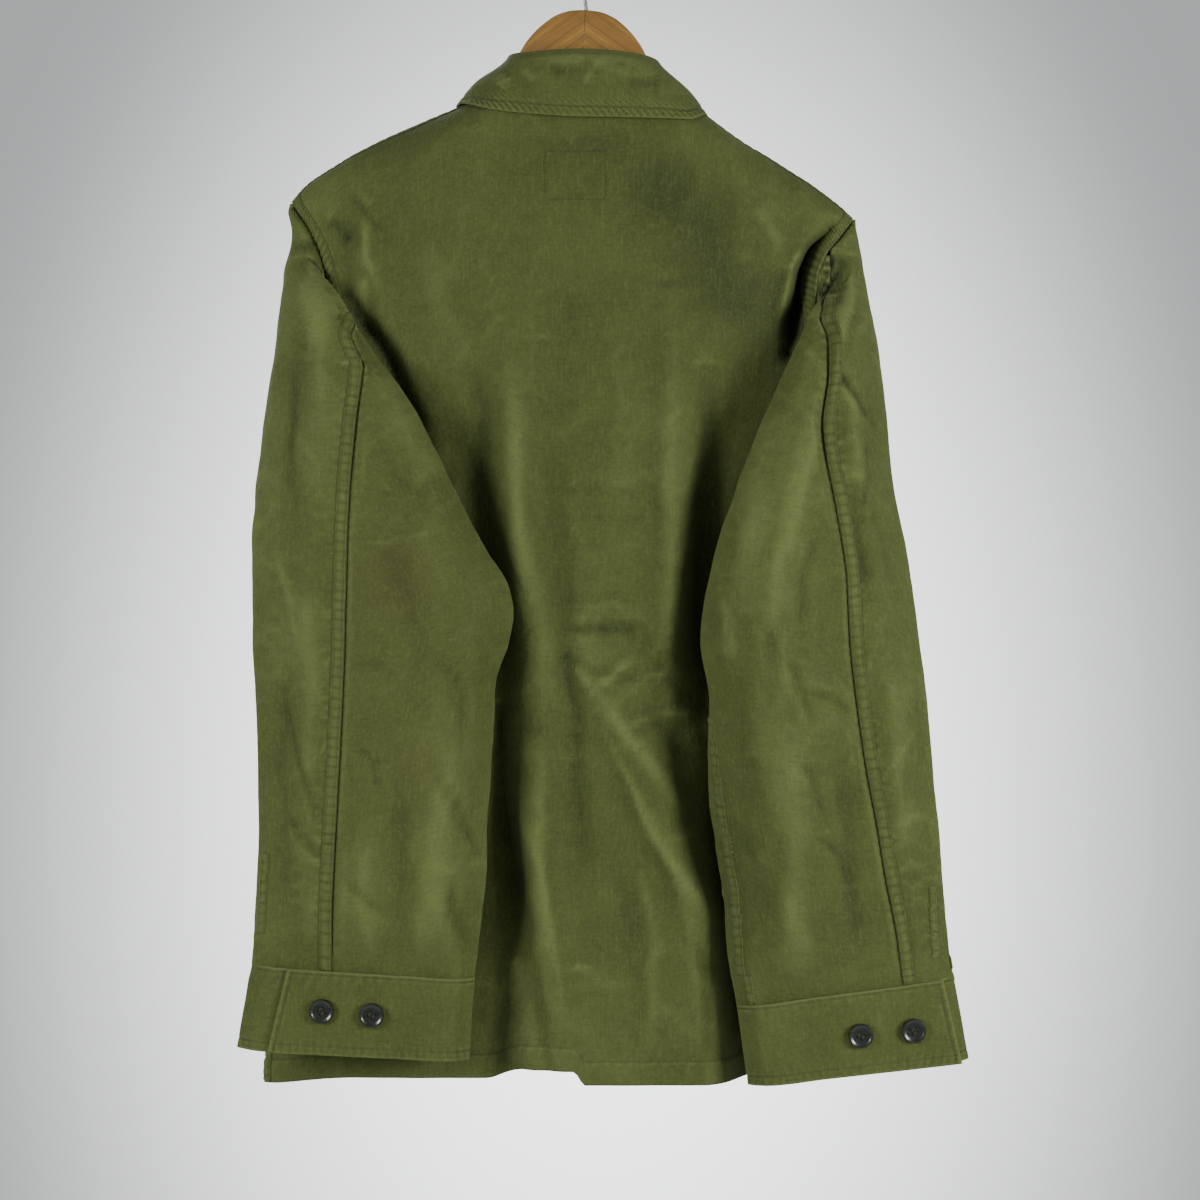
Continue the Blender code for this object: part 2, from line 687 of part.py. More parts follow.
class Cuff:
    """One cuff, a band wrapped round the wrist with its buttoned end on top, where X is how far out it reaches."""

    LAST = 10

    def __init__(self, size):
        self.size = size

    def path(self, v):
        """The band's line at v down the cuff."""
        size = self.size
        inner = size.inner_top + (size.inner_bottom - size.inner_top) * v
        end = size.end_top + (size.end_bottom - size.end_top) * v
        fold = size.fold_top + (size.fold_bottom - size.fold_top) * v
        middle = 0.5 * (size.under_y + size.top_y)
        return Path(
            [
                Vector((end, size.top_y + 0.0030, 0.0)),
                Vector((end - 0.040, size.top_y + 0.0030, 0.0)),
                Vector((0.5 * (inner + end) - 0.02, size.top_y + 0.0020, 0.0)),
                Vector((inner + 0.010, size.top_y - 0.0010, 0.0)),
                Vector((inner, middle, 0.0)),
                Vector((inner + 0.010, size.under_y + 0.0010, 0.0)),
                Vector((0.5 * (inner + fold), size.under_y, 0.0)),
                Vector((fold - 0.010, size.under_y + 0.0010, 0.0)),
                Vector((fold, middle - 0.001, 0.0)),
                Vector((fold - 0.009, size.top_y - 0.0050, 0.0)),
                Vector((end - 0.045, size.top_y - 0.0035, 0.0)),
            ]
        )

    def height(self, x, v):
        """The height of a point at this reach, v down the cuff."""
        size = self.size
        across = (x - size.inner_top) / (size.fold_top - size.inner_top)
        top = size.top_inner_z + (size.top_outer_z - size.top_inner_z) * across
        bottom = size.bottom_inner_z + (size.bottom_outer_z - size.bottom_inner_z) * across
        return top + (bottom - top) * v

    def surface(self, u, v):
        """The cuff's outer side at u along the band and v down."""
        flat = self.path(v)(self.LAST * u)
        return Vector((flat.x, flat.y, self.height(flat.x, v)))


class Collar:
    """The collar: a stand that rises from the neck seam, and a fall that turns over it."""

    def __init__(self):
        self.columns = {
            name: Profile([(row.angle, getattr(row, name)) for row in COLLAR])
            for name in CollarRow._fields[1:]
        }

    def seam(self, angle):
        """The neck seam at this angle from the middle of the back."""
        turn = math.radians(angle)
        back = math.cos(turn) >= 0.0
        x = NECK_HALF_WIDTH * math.sin(turn)
        edge = Vector((x, BODY_FORM.top_y(x, back), BODY_FORM.top_z(x, back) + 0.0008))
        return edge - Vector((math.sin(turn), math.cos(turn), 0.0)) * 0.0022

    def surface(self, u, v):
        """The collar's outer side at u round the neck and v along its profile, from the seam over the fold."""
        angle = 170.0 * (2.0 * u - 1.0)
        row = {name: profile(angle) for name, profile in self.columns.items()}
        seam = self.seam(angle)
        fold = Vector((row["fold_x"], row["fold_y"], row["fold_z"]))
        edge = Vector((row["edge_x"], row["edge_y"], row["edge_z"]))
        outward = Vector((math.sin(math.radians(angle)), math.cos(math.radians(angle)), 0.0))
        path = Path(
            [
                seam,
                seam.lerp(fold, 0.55) - outward * 0.001,
                fold - outward * 0.0022 - Vector((0.0, 0.0, 0.0030)),
                fold,
                fold + outward * 0.0035 - Vector((0.0, 0.0, 0.0040)),
                fold.lerp(edge, 0.60) + outward * 0.004,
                edge,
            ]
        )
        point = path(v * (len(path.points) - 1))
        if v * (len(path.points) - 1) > 3.5:
            point = self.lifted(point)
        return point

    def lifted(self, point):
        """A point of the fall, moved out where it would lie in the body."""
        back = point.y >= 0.0
        clearance = COLLAR_CLEARANCE if point.y > -0.004 else COLLAR_FRONT_CLEARANCE
        low = point.z - clearance
        ridge = BODY_FORM.shoulder_z(point.x)
        if low > ridge:
            return point
        if abs(point.y) < 0.004:
            return Vector((point.x, point.y, ridge + clearance))
        surface = BODY_FORM.depth(point.x, low, back)
        if back:
            return Vector((point.x, max(point.y, surface + clearance), point.z))
        return Vector((point.x, min(point.y, surface - clearance), point.z))


def material(name, colour, roughness, metallic=0.0):
    """A plain Principled material in an sRGB hex colour."""
    made = bpy.data.materials.new(name)
    made.use_nodes = True
    shader = made.node_tree.nodes["Principled BSDF"]
    channels = [int(colour[i : i + 2], 16) / 255.0 for i in (1, 3, 5)]
    linear = [c / 12.92 if c <= 0.04045 else ((c + 0.055) / 1.055) ** 2.4 for c in channels]
    shader.inputs["Base Color"].default_value = (*linear, 1.0)
    shader.inputs["Roughness"].default_value = roughness
    shader.inputs["Metallic"].default_value = metallic
    return made


def add_object(name, bm, finish):
    """Turns a bmesh into a named, smooth-shaded object with its own material."""
    bmesh.ops.recalc_face_normals(bm, faces=bm.faces[:])
    mesh = bpy.data.meshes.new(name)
    bm.to_mesh(mesh)
    bm.free()
    mesh.materials.append(finish)
    made = bpy.data.objects.new(name, mesh)
    bpy.context.scene.collection.objects.link(made)
    mesh.shade_smooth()
    mesh.set_sharp_from_angle(angle=math.radians(50.0))
    return made


def surface_frame(surface, u, v):
    """A surface's point and its two unit directions there, from one-sided steps at the edges."""
    step = 1e-3
    u0, u1 = max(u - step, 0.0), min(u + step, 1.0)
    v0, v1 = max(v - step, 0.0), min(v + step, 1.0)
    along_u = (surface(u1, v) - surface(u0, v)).normalized()
    along_v = (surface(u, v1) - surface(u, v0)).normalized()
    return surface(u, v), along_u, along_v


def cloth(
    name, surface, columns, rows, finish, inward, wall=CLOTH_WALL, mirror=False, level_at=None, shrink=SEAM_SHRINK
):
    """A wall of cloth on a surface.

    The grid is extruded to a closed slab, and each of its two skins is then mapped: the outer one onto the
    surface, and the inner one a wall's thickness inside. Edges stop short of the seams, and at level_at, the
    v of a seam that runs across, both skins end at one height.
    """
    bm = bmesh.new()
    bmesh.ops.create_grid(bm, x_segments=columns, y_segments=rows, size=0.5)
    extruded = bmesh.ops.extrude_face_region(bm, geom=bm.faces[:])["geom"]
    inner = {item for item in extruded if isinstance(item, bmesh.types.BMVert)}
    for vert in bm.verts:
        u = min(max(vert.co.x + 0.5, 0.0), 1.0)
        v = min(max(vert.co.y + 0.5, 0.0), 1.0)
        point, along_u, along_v = surface_frame(surface, u, v)
        normal = along_u.cross(along_v) * inward
        if level_at is not None and abs(v - level_at) < 1e-6:
            normal.z = 0.0
        if vert in inner:
            point += normal.normalized() * wall
        point += along_u * shrink * ((u < 1e-6) - (u > 1.0 - 1e-6))
        point += along_v * min(shrink, SEAM_SHRINK) * ((v < 1e-6) - (v > 1.0 - 1e-6))
        vert.co = Vector((-point.x, point.y, point.z)) if mirror else point
    return add_object(name, bm, finish)


def build_body(finish):
    """The back and the two fronts."""
    cloth("back", back_surface, BACK_NECK_COLUMNS + 2 * SIDE_COLUMNS, BODY_ROWS, finish, inward=-1.0)
    for side, name in ((1, "front_left"), (-1, "front_right")):
        surface = functools.partial(front_surface, side)
        cloth(name, surface, FRONT_NECK_COLUMNS + SIDE_COLUMNS, BODY_ROWS, finish, inward=float(side))


def build_sleeves(finish):
    """Both sleeves with their cuffs, each worked out on its own side."""
    sides = (
        ("left", Sleeve(1, LEFT_SLEEVE, LEFT_CUFF, -0.2694, -0.66)),
        ("right", Sleeve(-1, RIGHT_SLEEVE, RIGHT_CUFF, -0.2490, -0.62)),
    )
    for name, sleeve in sides:
        rows = len(sleeve.heights) - 1
        finished = {"finish": finish, "mirror": sleeve.side < 0, "shrink": SLEEVE_SHRINK}
        under_rows = rows - sleeve.first_under_row()
        cloth(f"sleeve_top_{name}", sleeve.top_piece, 13, rows, inward=-1.0, level_at=1.0, **finished)
        cloth(f"sleeve_under_{name}", sleeve.under_piece, 12, under_rows, inward=-1.0, level_at=1.0, **finished)
        cuff = Cuff(sleeve.cuff)
        cloth(f"cuff_{name}", cuff.surface, 20, 3, inward=1.0, wall=DOUBLE_WALL, level_at=0.0, **finished)


def build_collar(finish):
    """The collar as one folded wall."""
    cloth("collar", Collar().surface, 34, 11, finish, inward=-1.0, wall=0.0018)


def build_button(name, centre, facing, finish):
    """A round button with a raised rim, whose face looks along facing."""
    bm = bmesh.new()
    bmesh.ops.create_circle(bm, cap_ends=True, radius=BUTTON_RADIUS, segments=16)
    back = bm.faces[:]
    body = bmesh.ops.extrude_face_region(bm, geom=back)["geom"]
    lifted = [item for item in body if isinstance(item, bmesh.types.BMVert)]
    bmesh.ops.translate(bm, verts=lifted, vec=(0.0, 0.0, BUTTON_THICKNESS))
    face = [item for item in body if isinstance(item, bmesh.types.BMFace)]
    bmesh.ops.inset_region(bm, faces=face, thickness=BUTTON_RIM, depth=0.0)
    bmesh.ops.inset_region(bm, faces=face, thickness=BUTTON_RIM, depth=-BUTTON_RIM)
    turn = Vector((0.0, 0.0, 1.0)).rotation_difference(facing)
    bmesh.ops.transform(bm, matrix=Matrix.Translation(centre) @ turn.to_matrix().to_4x4(), verts=bm.verts[:])
    add_object(name, bm, finish)


def build_buttons(finish):
    """Two buttons on each cuff, and the row down the front."""
    cuff_buttons = (
        ("left", LEFT_CUFF, 1.0, ((0.1973, -0.8296), (0.1599, -0.8326))),
        ("right", RIGHT_CUFF, -1.0, ((0.2463, -0.8438), (0.2067, -0.8476))),
    )
    seat = 0.0003
    for name, size, side, places in cuff_buttons:
        for number, (reach, z) in enumerate(places, 1):
            centre = Vector((side * reach, size.top_y + 0.0032 + seat, z))
            build_button(f"cuff_button_{name}_{number}", centre, Vector((0.0, 1.0, 0.0)), finish)
    for number, z in enumerate(FRONT_BUTTON_ZS, 1):
        spots = [(x, z + rise) for x in (-0.016, 0.0, 0.016) for rise in (-0.018, 0.0, 0.018)]
        out = min(BODY_FORM.depth(x, height, back=False) for x, height in spots)
        centre = Vector((0.0, out - seat, z))
        build_button(f"front_button_{number}", centre, Vector((0.0, -1.0, 0.0)), finish)


def build_hanger(finish):
    """The wooden hanger: a flat arched board with rounded edges and a hole for the hook's shank."""
    upper = [Vector((row.reach, 0.0, -row.drop)) for row in HANGER_TOP]
    end = upper[-1]
    lower = [
        Vector((end.x + 0.004, 0.0, end.z - 0.010)),
        Vector((end.x - 0.001, 0.0, end.z - 0.020)),
        Vector((0.150, 0.0, -0.1150 - ARM_DEPTH - 0.001)),
        Vector((0.100, 0.0, -0.0880 - ARM_DEPTH - 0.003)),
        Vector((0.055, 0.0, -0.0960)),
        Vector((0.025, 0.0, -0.0840)),
        Vector((0.000, 0.0, -0.0800)),
    ]
    half = upper + lower
    outline = half + [Vector((-p.x, 0.0, p.z)) for p in reversed(half[1:-1])]
    bm = bmesh.new()
    verts = [bm.verts.new((p.x, -HANGER_HALF_THICKNESS, p.z)) for p in outline]
    bm.faces.new(verts)
    front = bmesh.ops.extrude_face_region(bm, geom=bm.faces[:])["geom"]
    moved = [item for item in front if isinstance(item, bmesh.types.BMVert)]
    bmesh.ops.translate(bm, verts=moved, vec=(0.0, 2.0 * HANGER_HALF_THICKNESS, 0.0))
    edges = [e for e in bm.edges if abs(e.verts[0].co.y - e.verts[1].co.y) < 1e-6]
    bmesh.ops.bevel(
        bm, geom=edges, offset=HANGER_EDGE, offset_type="OFFSET", affect="EDGES", segments=2, profile=0.5,
        material=-1, clamp_overlap=True,
    )
    place = Matrix.Translation((0.0, 0.0, HUMP_Z)) @ Matrix.Rotation(-HANGER_TILT, 4, "Y")
    bmesh.ops.transform(bm, matrix=place, verts=bm.verts[:])
    hanger = add_object("hanger", bm, finish)
    drill = bpy.data.meshes.new("hook_hole")
    cutter = bmesh.new()
    bmesh.ops.create_cone(
        cutter, cap_ends=True, segments=16, radius1=HOOK_HOLE_RADIUS, radius2=HOOK_HOLE_RADIUS,
        depth=2.0 * HOOK_DEPTH_IN_WOOD,
    )
    bmesh.ops.translate(cutter, verts=cutter.verts[:], vec=(0.0, 0.0, HUMP_Z))
    cutter.to_mesh(drill)
    cutter.free()
    hole = bpy.data.objects.new("hook_hole", drill)
    hole.hide_render = True
    hole.display_type = "WIRE"
    bpy.context.scene.collection.objects.link(hole)
    cut = hanger.modifiers.new("hook hole", "BOOLEAN")
    cut.operation = "DIFFERENCE"
    cut.object = hole


def build_hook(finish):
    """The wire hook: a straight shank out of the wood, then a bend whose inner top is the origin."""
    centre = Vector((0.0, 0.0, -HOOK_BEND_RADIUS + WIRE_RADIUS))
    points = [Vector((0.0, 0.0, HUMP_Z - HOOK_DEPTH_IN_WOOD + 0.0006))]
    steps = 18
    angles = [HOOK_BEND_START + HOOK_BEND_ANGLE * step / steps for step in range(steps + 1)]
    bend = [centre + HOOK_BEND_RADIUS * Vector((math.sin(angle), 0.0, math.cos(angle))) for angle in angles]
    points.append(Vector((0.0, 0.0, HUMP_Z + 0.006)))
    points.append(Vector((0.25 * bend[0].x, 0.0, 0.45 * HUMP_Z + 0.55 * bend[0].z)))
    points += bend
    data = bpy.data.curves.new("hook", "CURVE")
    data.dimensions = "3D"
    data.bevel_depth = WIRE_RADIUS
    data.bevel_resolution = 2
    data.use_fill_caps = True
    spline = data.splines.new("POLY")
    spline.points.add(len(points) - 1)
    for place, point in zip(spline.points, points):
        place.co = (*point, 1.0)
    data.materials.append(finish)
    bpy.context.scene.collection.objects.link(bpy.data.objects.new("hook", data))


def main():
    """Builds the jacket and its hanger."""
    for old in list(bpy.data.objects):
        bpy.data.objects.remove(old)
    cotton = material("washed cotton drill", COTTON, 0.85)
    build_body(cotton)
    build_sleeves(cotton)
    build_collar(cotton)
    build_buttons(material("dark horn buttons", HORN, 0.30))
    build_hanger(material("oiled beech", BEECH, 0.45))
    build_hook(material("plated steel wire", STEEL, 0.25, metallic=1.0))


main()
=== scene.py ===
"""A washed cotton bush jacket, buttoned on a wooden hanger and seen from behind, dressed for its render.

Units are metres and +Z is up. The origin is the seat of the hanger's hook, the jacket's front faces -Y and its back
faces +Y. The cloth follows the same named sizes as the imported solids, with its creases, seams and stitches added.
"""

from __future__ import annotations

import bisect
import functools
import logging
import math
from dataclasses import dataclass, field
from enum import Enum
from typing import Callable, NamedTuple, Sequence

import bmesh
import bpy
from mathutils import Matrix, Vector, noise


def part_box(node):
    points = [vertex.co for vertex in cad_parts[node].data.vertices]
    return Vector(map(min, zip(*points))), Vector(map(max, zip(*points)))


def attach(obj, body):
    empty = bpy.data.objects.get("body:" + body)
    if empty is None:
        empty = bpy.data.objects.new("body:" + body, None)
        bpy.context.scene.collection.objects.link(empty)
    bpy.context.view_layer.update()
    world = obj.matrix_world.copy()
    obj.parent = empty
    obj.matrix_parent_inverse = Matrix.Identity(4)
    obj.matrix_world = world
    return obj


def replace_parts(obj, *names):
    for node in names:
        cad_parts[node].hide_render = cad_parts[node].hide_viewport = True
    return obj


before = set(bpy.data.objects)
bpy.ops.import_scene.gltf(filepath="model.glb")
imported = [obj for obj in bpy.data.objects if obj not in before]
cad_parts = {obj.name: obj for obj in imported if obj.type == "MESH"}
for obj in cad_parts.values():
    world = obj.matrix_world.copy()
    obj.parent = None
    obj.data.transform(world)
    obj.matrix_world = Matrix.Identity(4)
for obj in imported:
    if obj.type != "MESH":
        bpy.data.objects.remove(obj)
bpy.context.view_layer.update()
LOG = logging.getLogger("bush_jacket")

Surface = Callable[[float, float], Vector]


# Forms shared with the solids ----------------------------------------------------------------------------------------


def smooth(place: float) -> float:
    """A soft step from 0 to 1 as place goes from 0 to 1."""
    place = min(max(place, 0.0), 1.0)
    return place * place * (3.0 - 2.0 * place)


def bell(distance: float, width: float) -> float:
    """A soft bump of height 1 at no distance."""
    return math.exp(-((distance / width) ** 2))


class Profile:
    """A smooth curve through rows of (place, value), level beyond its ends and with no overshoot."""

    def __init__(self, rows: Sequence[tuple[float, float]]) -> None:
        """Sorts the rows and works out a slope at each of them."""
        rows = sorted(rows)
        self.places = [row[0] for row in rows]
        self.values = [row[1] for row in rows]
        steps = [
            (self.values[i + 1] - self.values[i]) / (self.places[i + 1] - self.places[i]) for i in range(len(rows) - 1)
        ]
        inner = [2.0 * a * b / (a + b) if a * b > 0.0 else 0.0 for a, b in zip(steps, steps[1:])]
        self.slopes = [steps[0], *inner, steps[-1]]

    def __call__(self, place: float) -> float:
        """The value at a place."""
        if place <= self.places[0]:
            return self.values[0]
        if place >= self.places[-1]:
            return self.values[-1]
        i = bisect.bisect_right(self.places, place) - 1
        span = self.places[i + 1] - self.places[i]
        t = (place - self.places[i]) / span
        return (
            (1 + 2 * t) * (1 - t) ** 2 * self.values[i]
            + t * (1 - t) ** 2 * span * self.slopes[i]
            + t * t * (3 - 2 * t) * self.values[i + 1]
            + t * t * (t - 1) * span * self.slopes[i + 1]
        )


class Path:
    """A smooth curve through points, read at a place that is counted in points."""

    def __init__(self, points: Sequence[Vector]) -> None:
        """Works out a direction at each point from its neighbours."""
        self.points = list(points)
        self.spans = [max((b - a).length, 1e-6) for a, b in zip(self.points, self.points[1:])]
        speeds = [(b - a) / span for a, b, span in zip(self.points, self.points[1:], self.spans)]
        inner = [
            (speeds[i] * self.spans[i + 1] + speeds[i + 1] * self.spans[i]) / (self.spans[i] + self.spans[i + 1])
            for i in range(len(self.spans) - 1)
        ]
        self.speeds = [speeds[0], *inner, speeds[-1]]

    def __call__(self, place: float) -> Vector:
        """The point at a place."""
        place = min(max(place, 0.0), len(self.points) - 1.0)
        i = min(int(place), len(self.points) - 2)
        t = place - i
        span = self.spans[i]
        return (
            self.points[i] * ((1 + 2 * t) * (1 - t) ** 2)
            + self.speeds[i] * (t * (1 - t) ** 2 * span)
            + self.points[i + 1] * (t * t * (3 - 2 * t))
            + self.speeds[i + 1] * (t * t * (t - 1) * span)
        )


class BodyRow(NamedTuple):
    """The body's depths at a height: at the middle of the back, under each sleeve, and at the front."""

    z: float
    back_middle: float
    back_left: float
    back_right: float
    left_bend: float
    right_bend: float
    front: float


class Fold(NamedTuple):
    """A long fold in the back: a ridge where its height is positive, and a trough where it is negative."""

    x_top: float
    z_top: float
    x_bottom: float
    z_bottom: float
    half_width: float
    height: float


class SleeveRow(NamedTuple):
    """A section of a sleeve: how far its two folds reach out, and how its layers lie over the back."""

    z: float
    inner: float
    outer: float
    outer_y: float
    under_y: float
    loft: float
    seam: float


class CuffSize(NamedTuple):
    """The corners of a flat cuff: heights at its inner and outer side, and reaches at its top and bottom."""

    top_inner_z: float
    top_outer_z: float
    bottom_inner_z: float
    bottom_outer_z: float
    inner_top: float
    inner_bottom: float
    end_top: float
    end_bottom: float
    fold_top: float
    fold_bottom: float
    under_y: float
    top_y: float


class CollarRow(NamedTuple):
    """The collar at an angle round the neck from the middle of the back: its fold and the edge of its fall."""

    angle: float
    fold_x: float
    fold_y: float
    fold_z: float
    edge_x: float
    edge_y: float
    edge_z: float


@dataclass(frozen=True)
class BodyForm:
    """The jacket's body: where its outer surface lies, front and back."""

    shoulder_arch: float = 0.030
    neck_half_width: float = 0.078
    neck_back_depth: float = 0.030
    neck_front_depth: float = 0.034
    neck_back_z: float = -0.131
    neck_front_z: float = -0.178
    hem_level: float = -0.890
    front_hem_z: float = -0.899
    front_hem_rise: float = 0.011
    bend_half_width: float = 0.020
    front_overlap: float = 0.015
    front_step: float = 0.0030
    cad_rows: int = 24
    arch_rows: int = 4
    neck_columns: int = 18
    front_neck_columns: int = 10
    side_columns: int = 10
    shoulder_left: tuple = (
        (0.075, -0.1270), (0.102, -0.1381), (0.150, -0.1585), (0.177, -0.1726), (0.213, -0.1961), (0.231, -0.2120),
    )
    shoulder_right: tuple = (
        (0.075, -0.1330), (0.095, -0.1460), (0.121, -0.1648), (0.144, -0.1773), (0.186, -0.2048), (0.211, -0.2255),
    )
    left_edge: tuple = (
        (-0.212, 0.2290), (-0.235, 0.2130), (-0.257, 0.2036), (-0.300, 0.1960), (-0.350, 0.1960), (-0.400, 0.2070),
        (-0.440, 0.2320), (-0.500, 0.2390), (-0.600, 0.2420), (-0.750, 0.2430), (-0.890, 0.2510),
    )
    right_edge: tuple = (
        (-0.224, 0.2095), (-0.240, 0.1975), (-0.253, 0.1875), (-0.275, 0.1800), (-0.310, 0.1780), (-0.360, 0.1830),
        (-0.410, 0.1980), (-0.450, 0.2230), (-0.510, 0.2340), (-0.600, 0.2420), (-0.750, 0.2500), (-0.890, 0.2500),
    )
    edge_back_depths: tuple = (
        (0.000, 0.0160), (0.030, 0.0160), (0.050, 0.0185), (0.090, 0.0210), (0.150, 0.0180), (0.195, 0.0100),
        (0.228, 0.0000),
    )
    edge_front_depths: tuple = (
        (0.000, -0.0160), (0.030, -0.0160), (0.050, -0.0200), (0.090, -0.0240), (0.150, -0.0200), (0.195, -0.0110),
        (0.228, 0.0000),
    )
    rows: tuple[BodyRow, ...] = (
        BodyRow(-0.13, 0.033, 0.024, 0.024, 0.10, 0.10, -0.036),
        BodyRow(-0.20, 0.035, 0.026, 0.026, 0.14, 0.14, -0.039),
        BodyRow(-0.28, 0.037, 0.028, 0.024, 0.13, 0.13, -0.040),
        BodyRow(-0.36, 0.038, 0.026, 0.020, 0.09, 0.10, -0.040),
        BodyRow(-0.45, 0.039, 0.022, 0.018, 0.07, 0.09, -0.042),
        BodyRow(-0.55, 0.041, 0.020, 0.018, 0.05, 0.08, -0.044),
        BodyRow(-0.68, 0.044, 0.020, 0.019, 0.05, 0.08, -0.046),
        BodyRow(-0.78, 0.046, 0.021, 0.020, 0.05, 0.10, -0.047),
        BodyRow(-0.89, 0.048, 0.022, 0.022, 0.05, 0.11, -0.048),
    )
    folds: tuple[Fold, ...] = (
        Fold(0.060, -0.30, 0.046, -0.62, 0.012, 0.006),
        Fold(0.046, -0.62, 0.036, -0.86, 0.011, 0.005),
        Fold(0.034, -0.32, 0.010, -0.64, 0.012, -0.007),
        Fold(0.012, -0.62, 0.004, -0.80, 0.013, -0.008),
        Fold(-0.066, -0.28, -0.066, -0.56, 0.012, 0.006),
        Fold(-0.094, -0.34, -0.096, -0.62, 0.012, -0.010),
        Fold(-0.012, -0.59, -0.098, -0.80, 0.014, 0.007),
        Fold(-0.060, -0.58, -0.078, -0.70, 0.016, -0.010),
        Fold(0.066, -0.60, 0.052, -0.80, 0.010, -0.010),
        Fold(0.062, -0.67, 0.026, -0.90, 0.010, -0.008),
        Fold(-0.103, -0.62, -0.132, -0.93, 0.012, -0.018),
    )

    @functools.cached_property
    def curves(self) -> dict[str, Profile]:
        """Every table of this form as a curve, by name."""
        made = {
            "shoulder_1": Profile(self.shoulder_left),
            "shoulder_-1": Profile(self.shoulder_right),
            "edge_1": Profile(self.left_edge),
            "edge_-1": Profile(self.right_edge),
            "edge_back": Profile(self.edge_back_depths),
            "edge_front": Profile(self.edge_front_depths),
        }
        for name in BodyRow._fields[1:]:
            made[name] = Profile([(row.z, getattr(row, name)) for row in self.rows])
        return made

    def point_z(self, side: int) -> float:
        """The height of the shoulder point on one side."""
        return self.left_edge[0][0] if side > 0 else self.right_edge[0][0]

    def shoulder_z(self, x: float) -> float:
        """The height of the shoulder seam at x."""
        return self.curves["shoulder_1" if x >= 0.0 else "shoulder_-1"](abs(x))

    def top_z(self, x: float, back: bool) -> float:
        """The height of a panel's upper edge at x: the neck seam, then the shoulder seam."""
        if abs(x) >= self.neck_half_width:
            return self.shoulder_z(x)
        across = x / self.neck_half_width
        corner = self.shoulder_z(math.copysign(self.neck_half_width, x))
        middle = self.neck_back_z if back else self.neck_front_z
        return middle + (corner - middle) * (1.0 - math.sqrt(1.0 - across * across) ** 1.3)

    def top_y(self, x: float, back: bool) -> float:
        """How far the upper edge stands out at x: round the neck, then nothing along the shoulder."""
        across = min(abs(x) / self.neck_half_width, 1.0)
        if back:
            return self.neck_back_depth * math.sqrt(1.0 - across * across)
        return -self.neck_front_depth * (1.0 - across * across) ** 0.38

    def reach(self, side: int, z: float) -> float:
        """How far the panels reach to one side at a height."""
        return self.curves["edge_1" if side > 0 else "edge_-1"](z)

    def folded(self, x: float, z: float) -> float:
        """How far the back's long folds move its surface out."""
        total = 0.0
        for fold in self.folds:
            along = (fold.z_top - z) / (fold.z_top - fold.z_bottom)
            if not 0.0 < along < 1.0:
                continue
            centre = fold.x_top + (fold.x_bottom - fold.x_top) * along
            total += fold.height * math.sin(math.pi * along) ** 0.6 * bell(x - centre, fold.half_width)
        return total

    def depth(self, x: float, z: float, back: bool) -> float:
        """The Y of the outer surface at x and z, on the back or on the front."""
        side = 1 if x >= 0.0 else -1
        across = min(abs(x) / self.reach(side, z), 1.0)
        drop = self.point_z(side) - z
        if back:
            bend = self.curves["left_bend" if side > 0 else "right_bend"](z)
            under = self.curves["back_left" if side > 0 else "back_right"](z)
            middle = self.curves["back_middle"](z)
            past = smooth((abs(x) - bend + self.bend_half_width) / (2.0 * self.bend_half_width))
            depth = middle + (under - middle) * past
            depth += self.folded(x, z) * (1.0 - across**6)
            edge_y = self.curves["edge_back"](drop)
        else:
            depth = self.curves["front"](z)
            depth += 0.004 * math.sin(58.0 * x + 3.0 * z) * smooth((-z - 0.30) / 0.2)
            depth *= 1.0 - 0.35 * across**3
            edge_y = self.curves["edge_front"](drop)
        rounded = math.sqrt(max(1.0 - across**5, 0.0))
        depth = edge_y + (depth - edge_y) * rounded
        fall = min(max((self.top_z(x, back) - z) / self.shoulder_arch, 0.0), 1.0)
        top = self.top_y(x, back)
        return top + (depth - top) * math.sqrt(1.0 - (1.0 - fall) ** 2)

    def hem_z(self, x: float, back: bool) -> float:
        """The height of the hem at x."""
        if not back:
            return self.front_hem_z + self.front_hem_rise * smooth((-0.12 - x) / 0.06)
        tuck = smooth(x / 0.008) * smooth((0.070 - x) / 0.030)
        corner = 0.008 * smooth((x - 0.16) / 0.08)
        return self.hem_level - 0.0005 + 0.0105 * tuck + 0.006 * smooth((-0.10 - x) / 0.03) - corner

    def row_z(self, top: float, row: float) -> float:
        """The height of a row of a panel whose upper edge is at top: an arch over the shoulder, then even rows."""
        if row <= self.arch_rows:
            return top - self.shoulder_arch * (1.0 - math.cos(0.5 * math.pi * row / self.arch_rows))
        start = top - self.shoulder_arch
        return start + (self.hem_level - start) * (row - self.arch_rows) / (self.cad_rows - self.arch_rows)

    def panel_z(self, x: float, v: float, back: bool) -> float:
        """The height at v down a panel, in the column whose upper end is at x."""
        level = self.row_z(self.top_z(x, back), self.cad_rows * v)
        return level + (self.hem_z(x, back) - self.hem_level) * smooth((v - 0.75) / 0.25)

    def side_place(self, share: float, side: int) -> float:
        """A column's distance from the middle at the top, at a share of the way from the neck corner out."""
        width = self.reach(side, self.point_z(side))
        eased = 0.5 * share + 0.5 * math.sin(0.5 * math.pi * share)
        return self.neck_half_width + (width - self.neck_half_width) * eased

    def back_surface(self, u: float, v: float) -> Vector:
        """The back at u across, from the right seam to the left one, and v down."""
        column = (2.0 * u - 1.0) * (0.5 * self.neck_columns + self.side_columns)
        side = 1 if column >= 0.0 else -1
        past = abs(column) - 0.5 * self.neck_columns
        if past > 0.0:
            first = side * self.side_place(past / self.side_columns, side)
        else:
            first = self.neck_half_width * math.sin(math.pi * column / self.neck_columns)
        z = self.panel_z(first, v, back=True)
        x = first * self.reach(side, z) / self.reach(side, self.point_z(side))
        return Vector((x, self.depth(x, z, back=True), z))

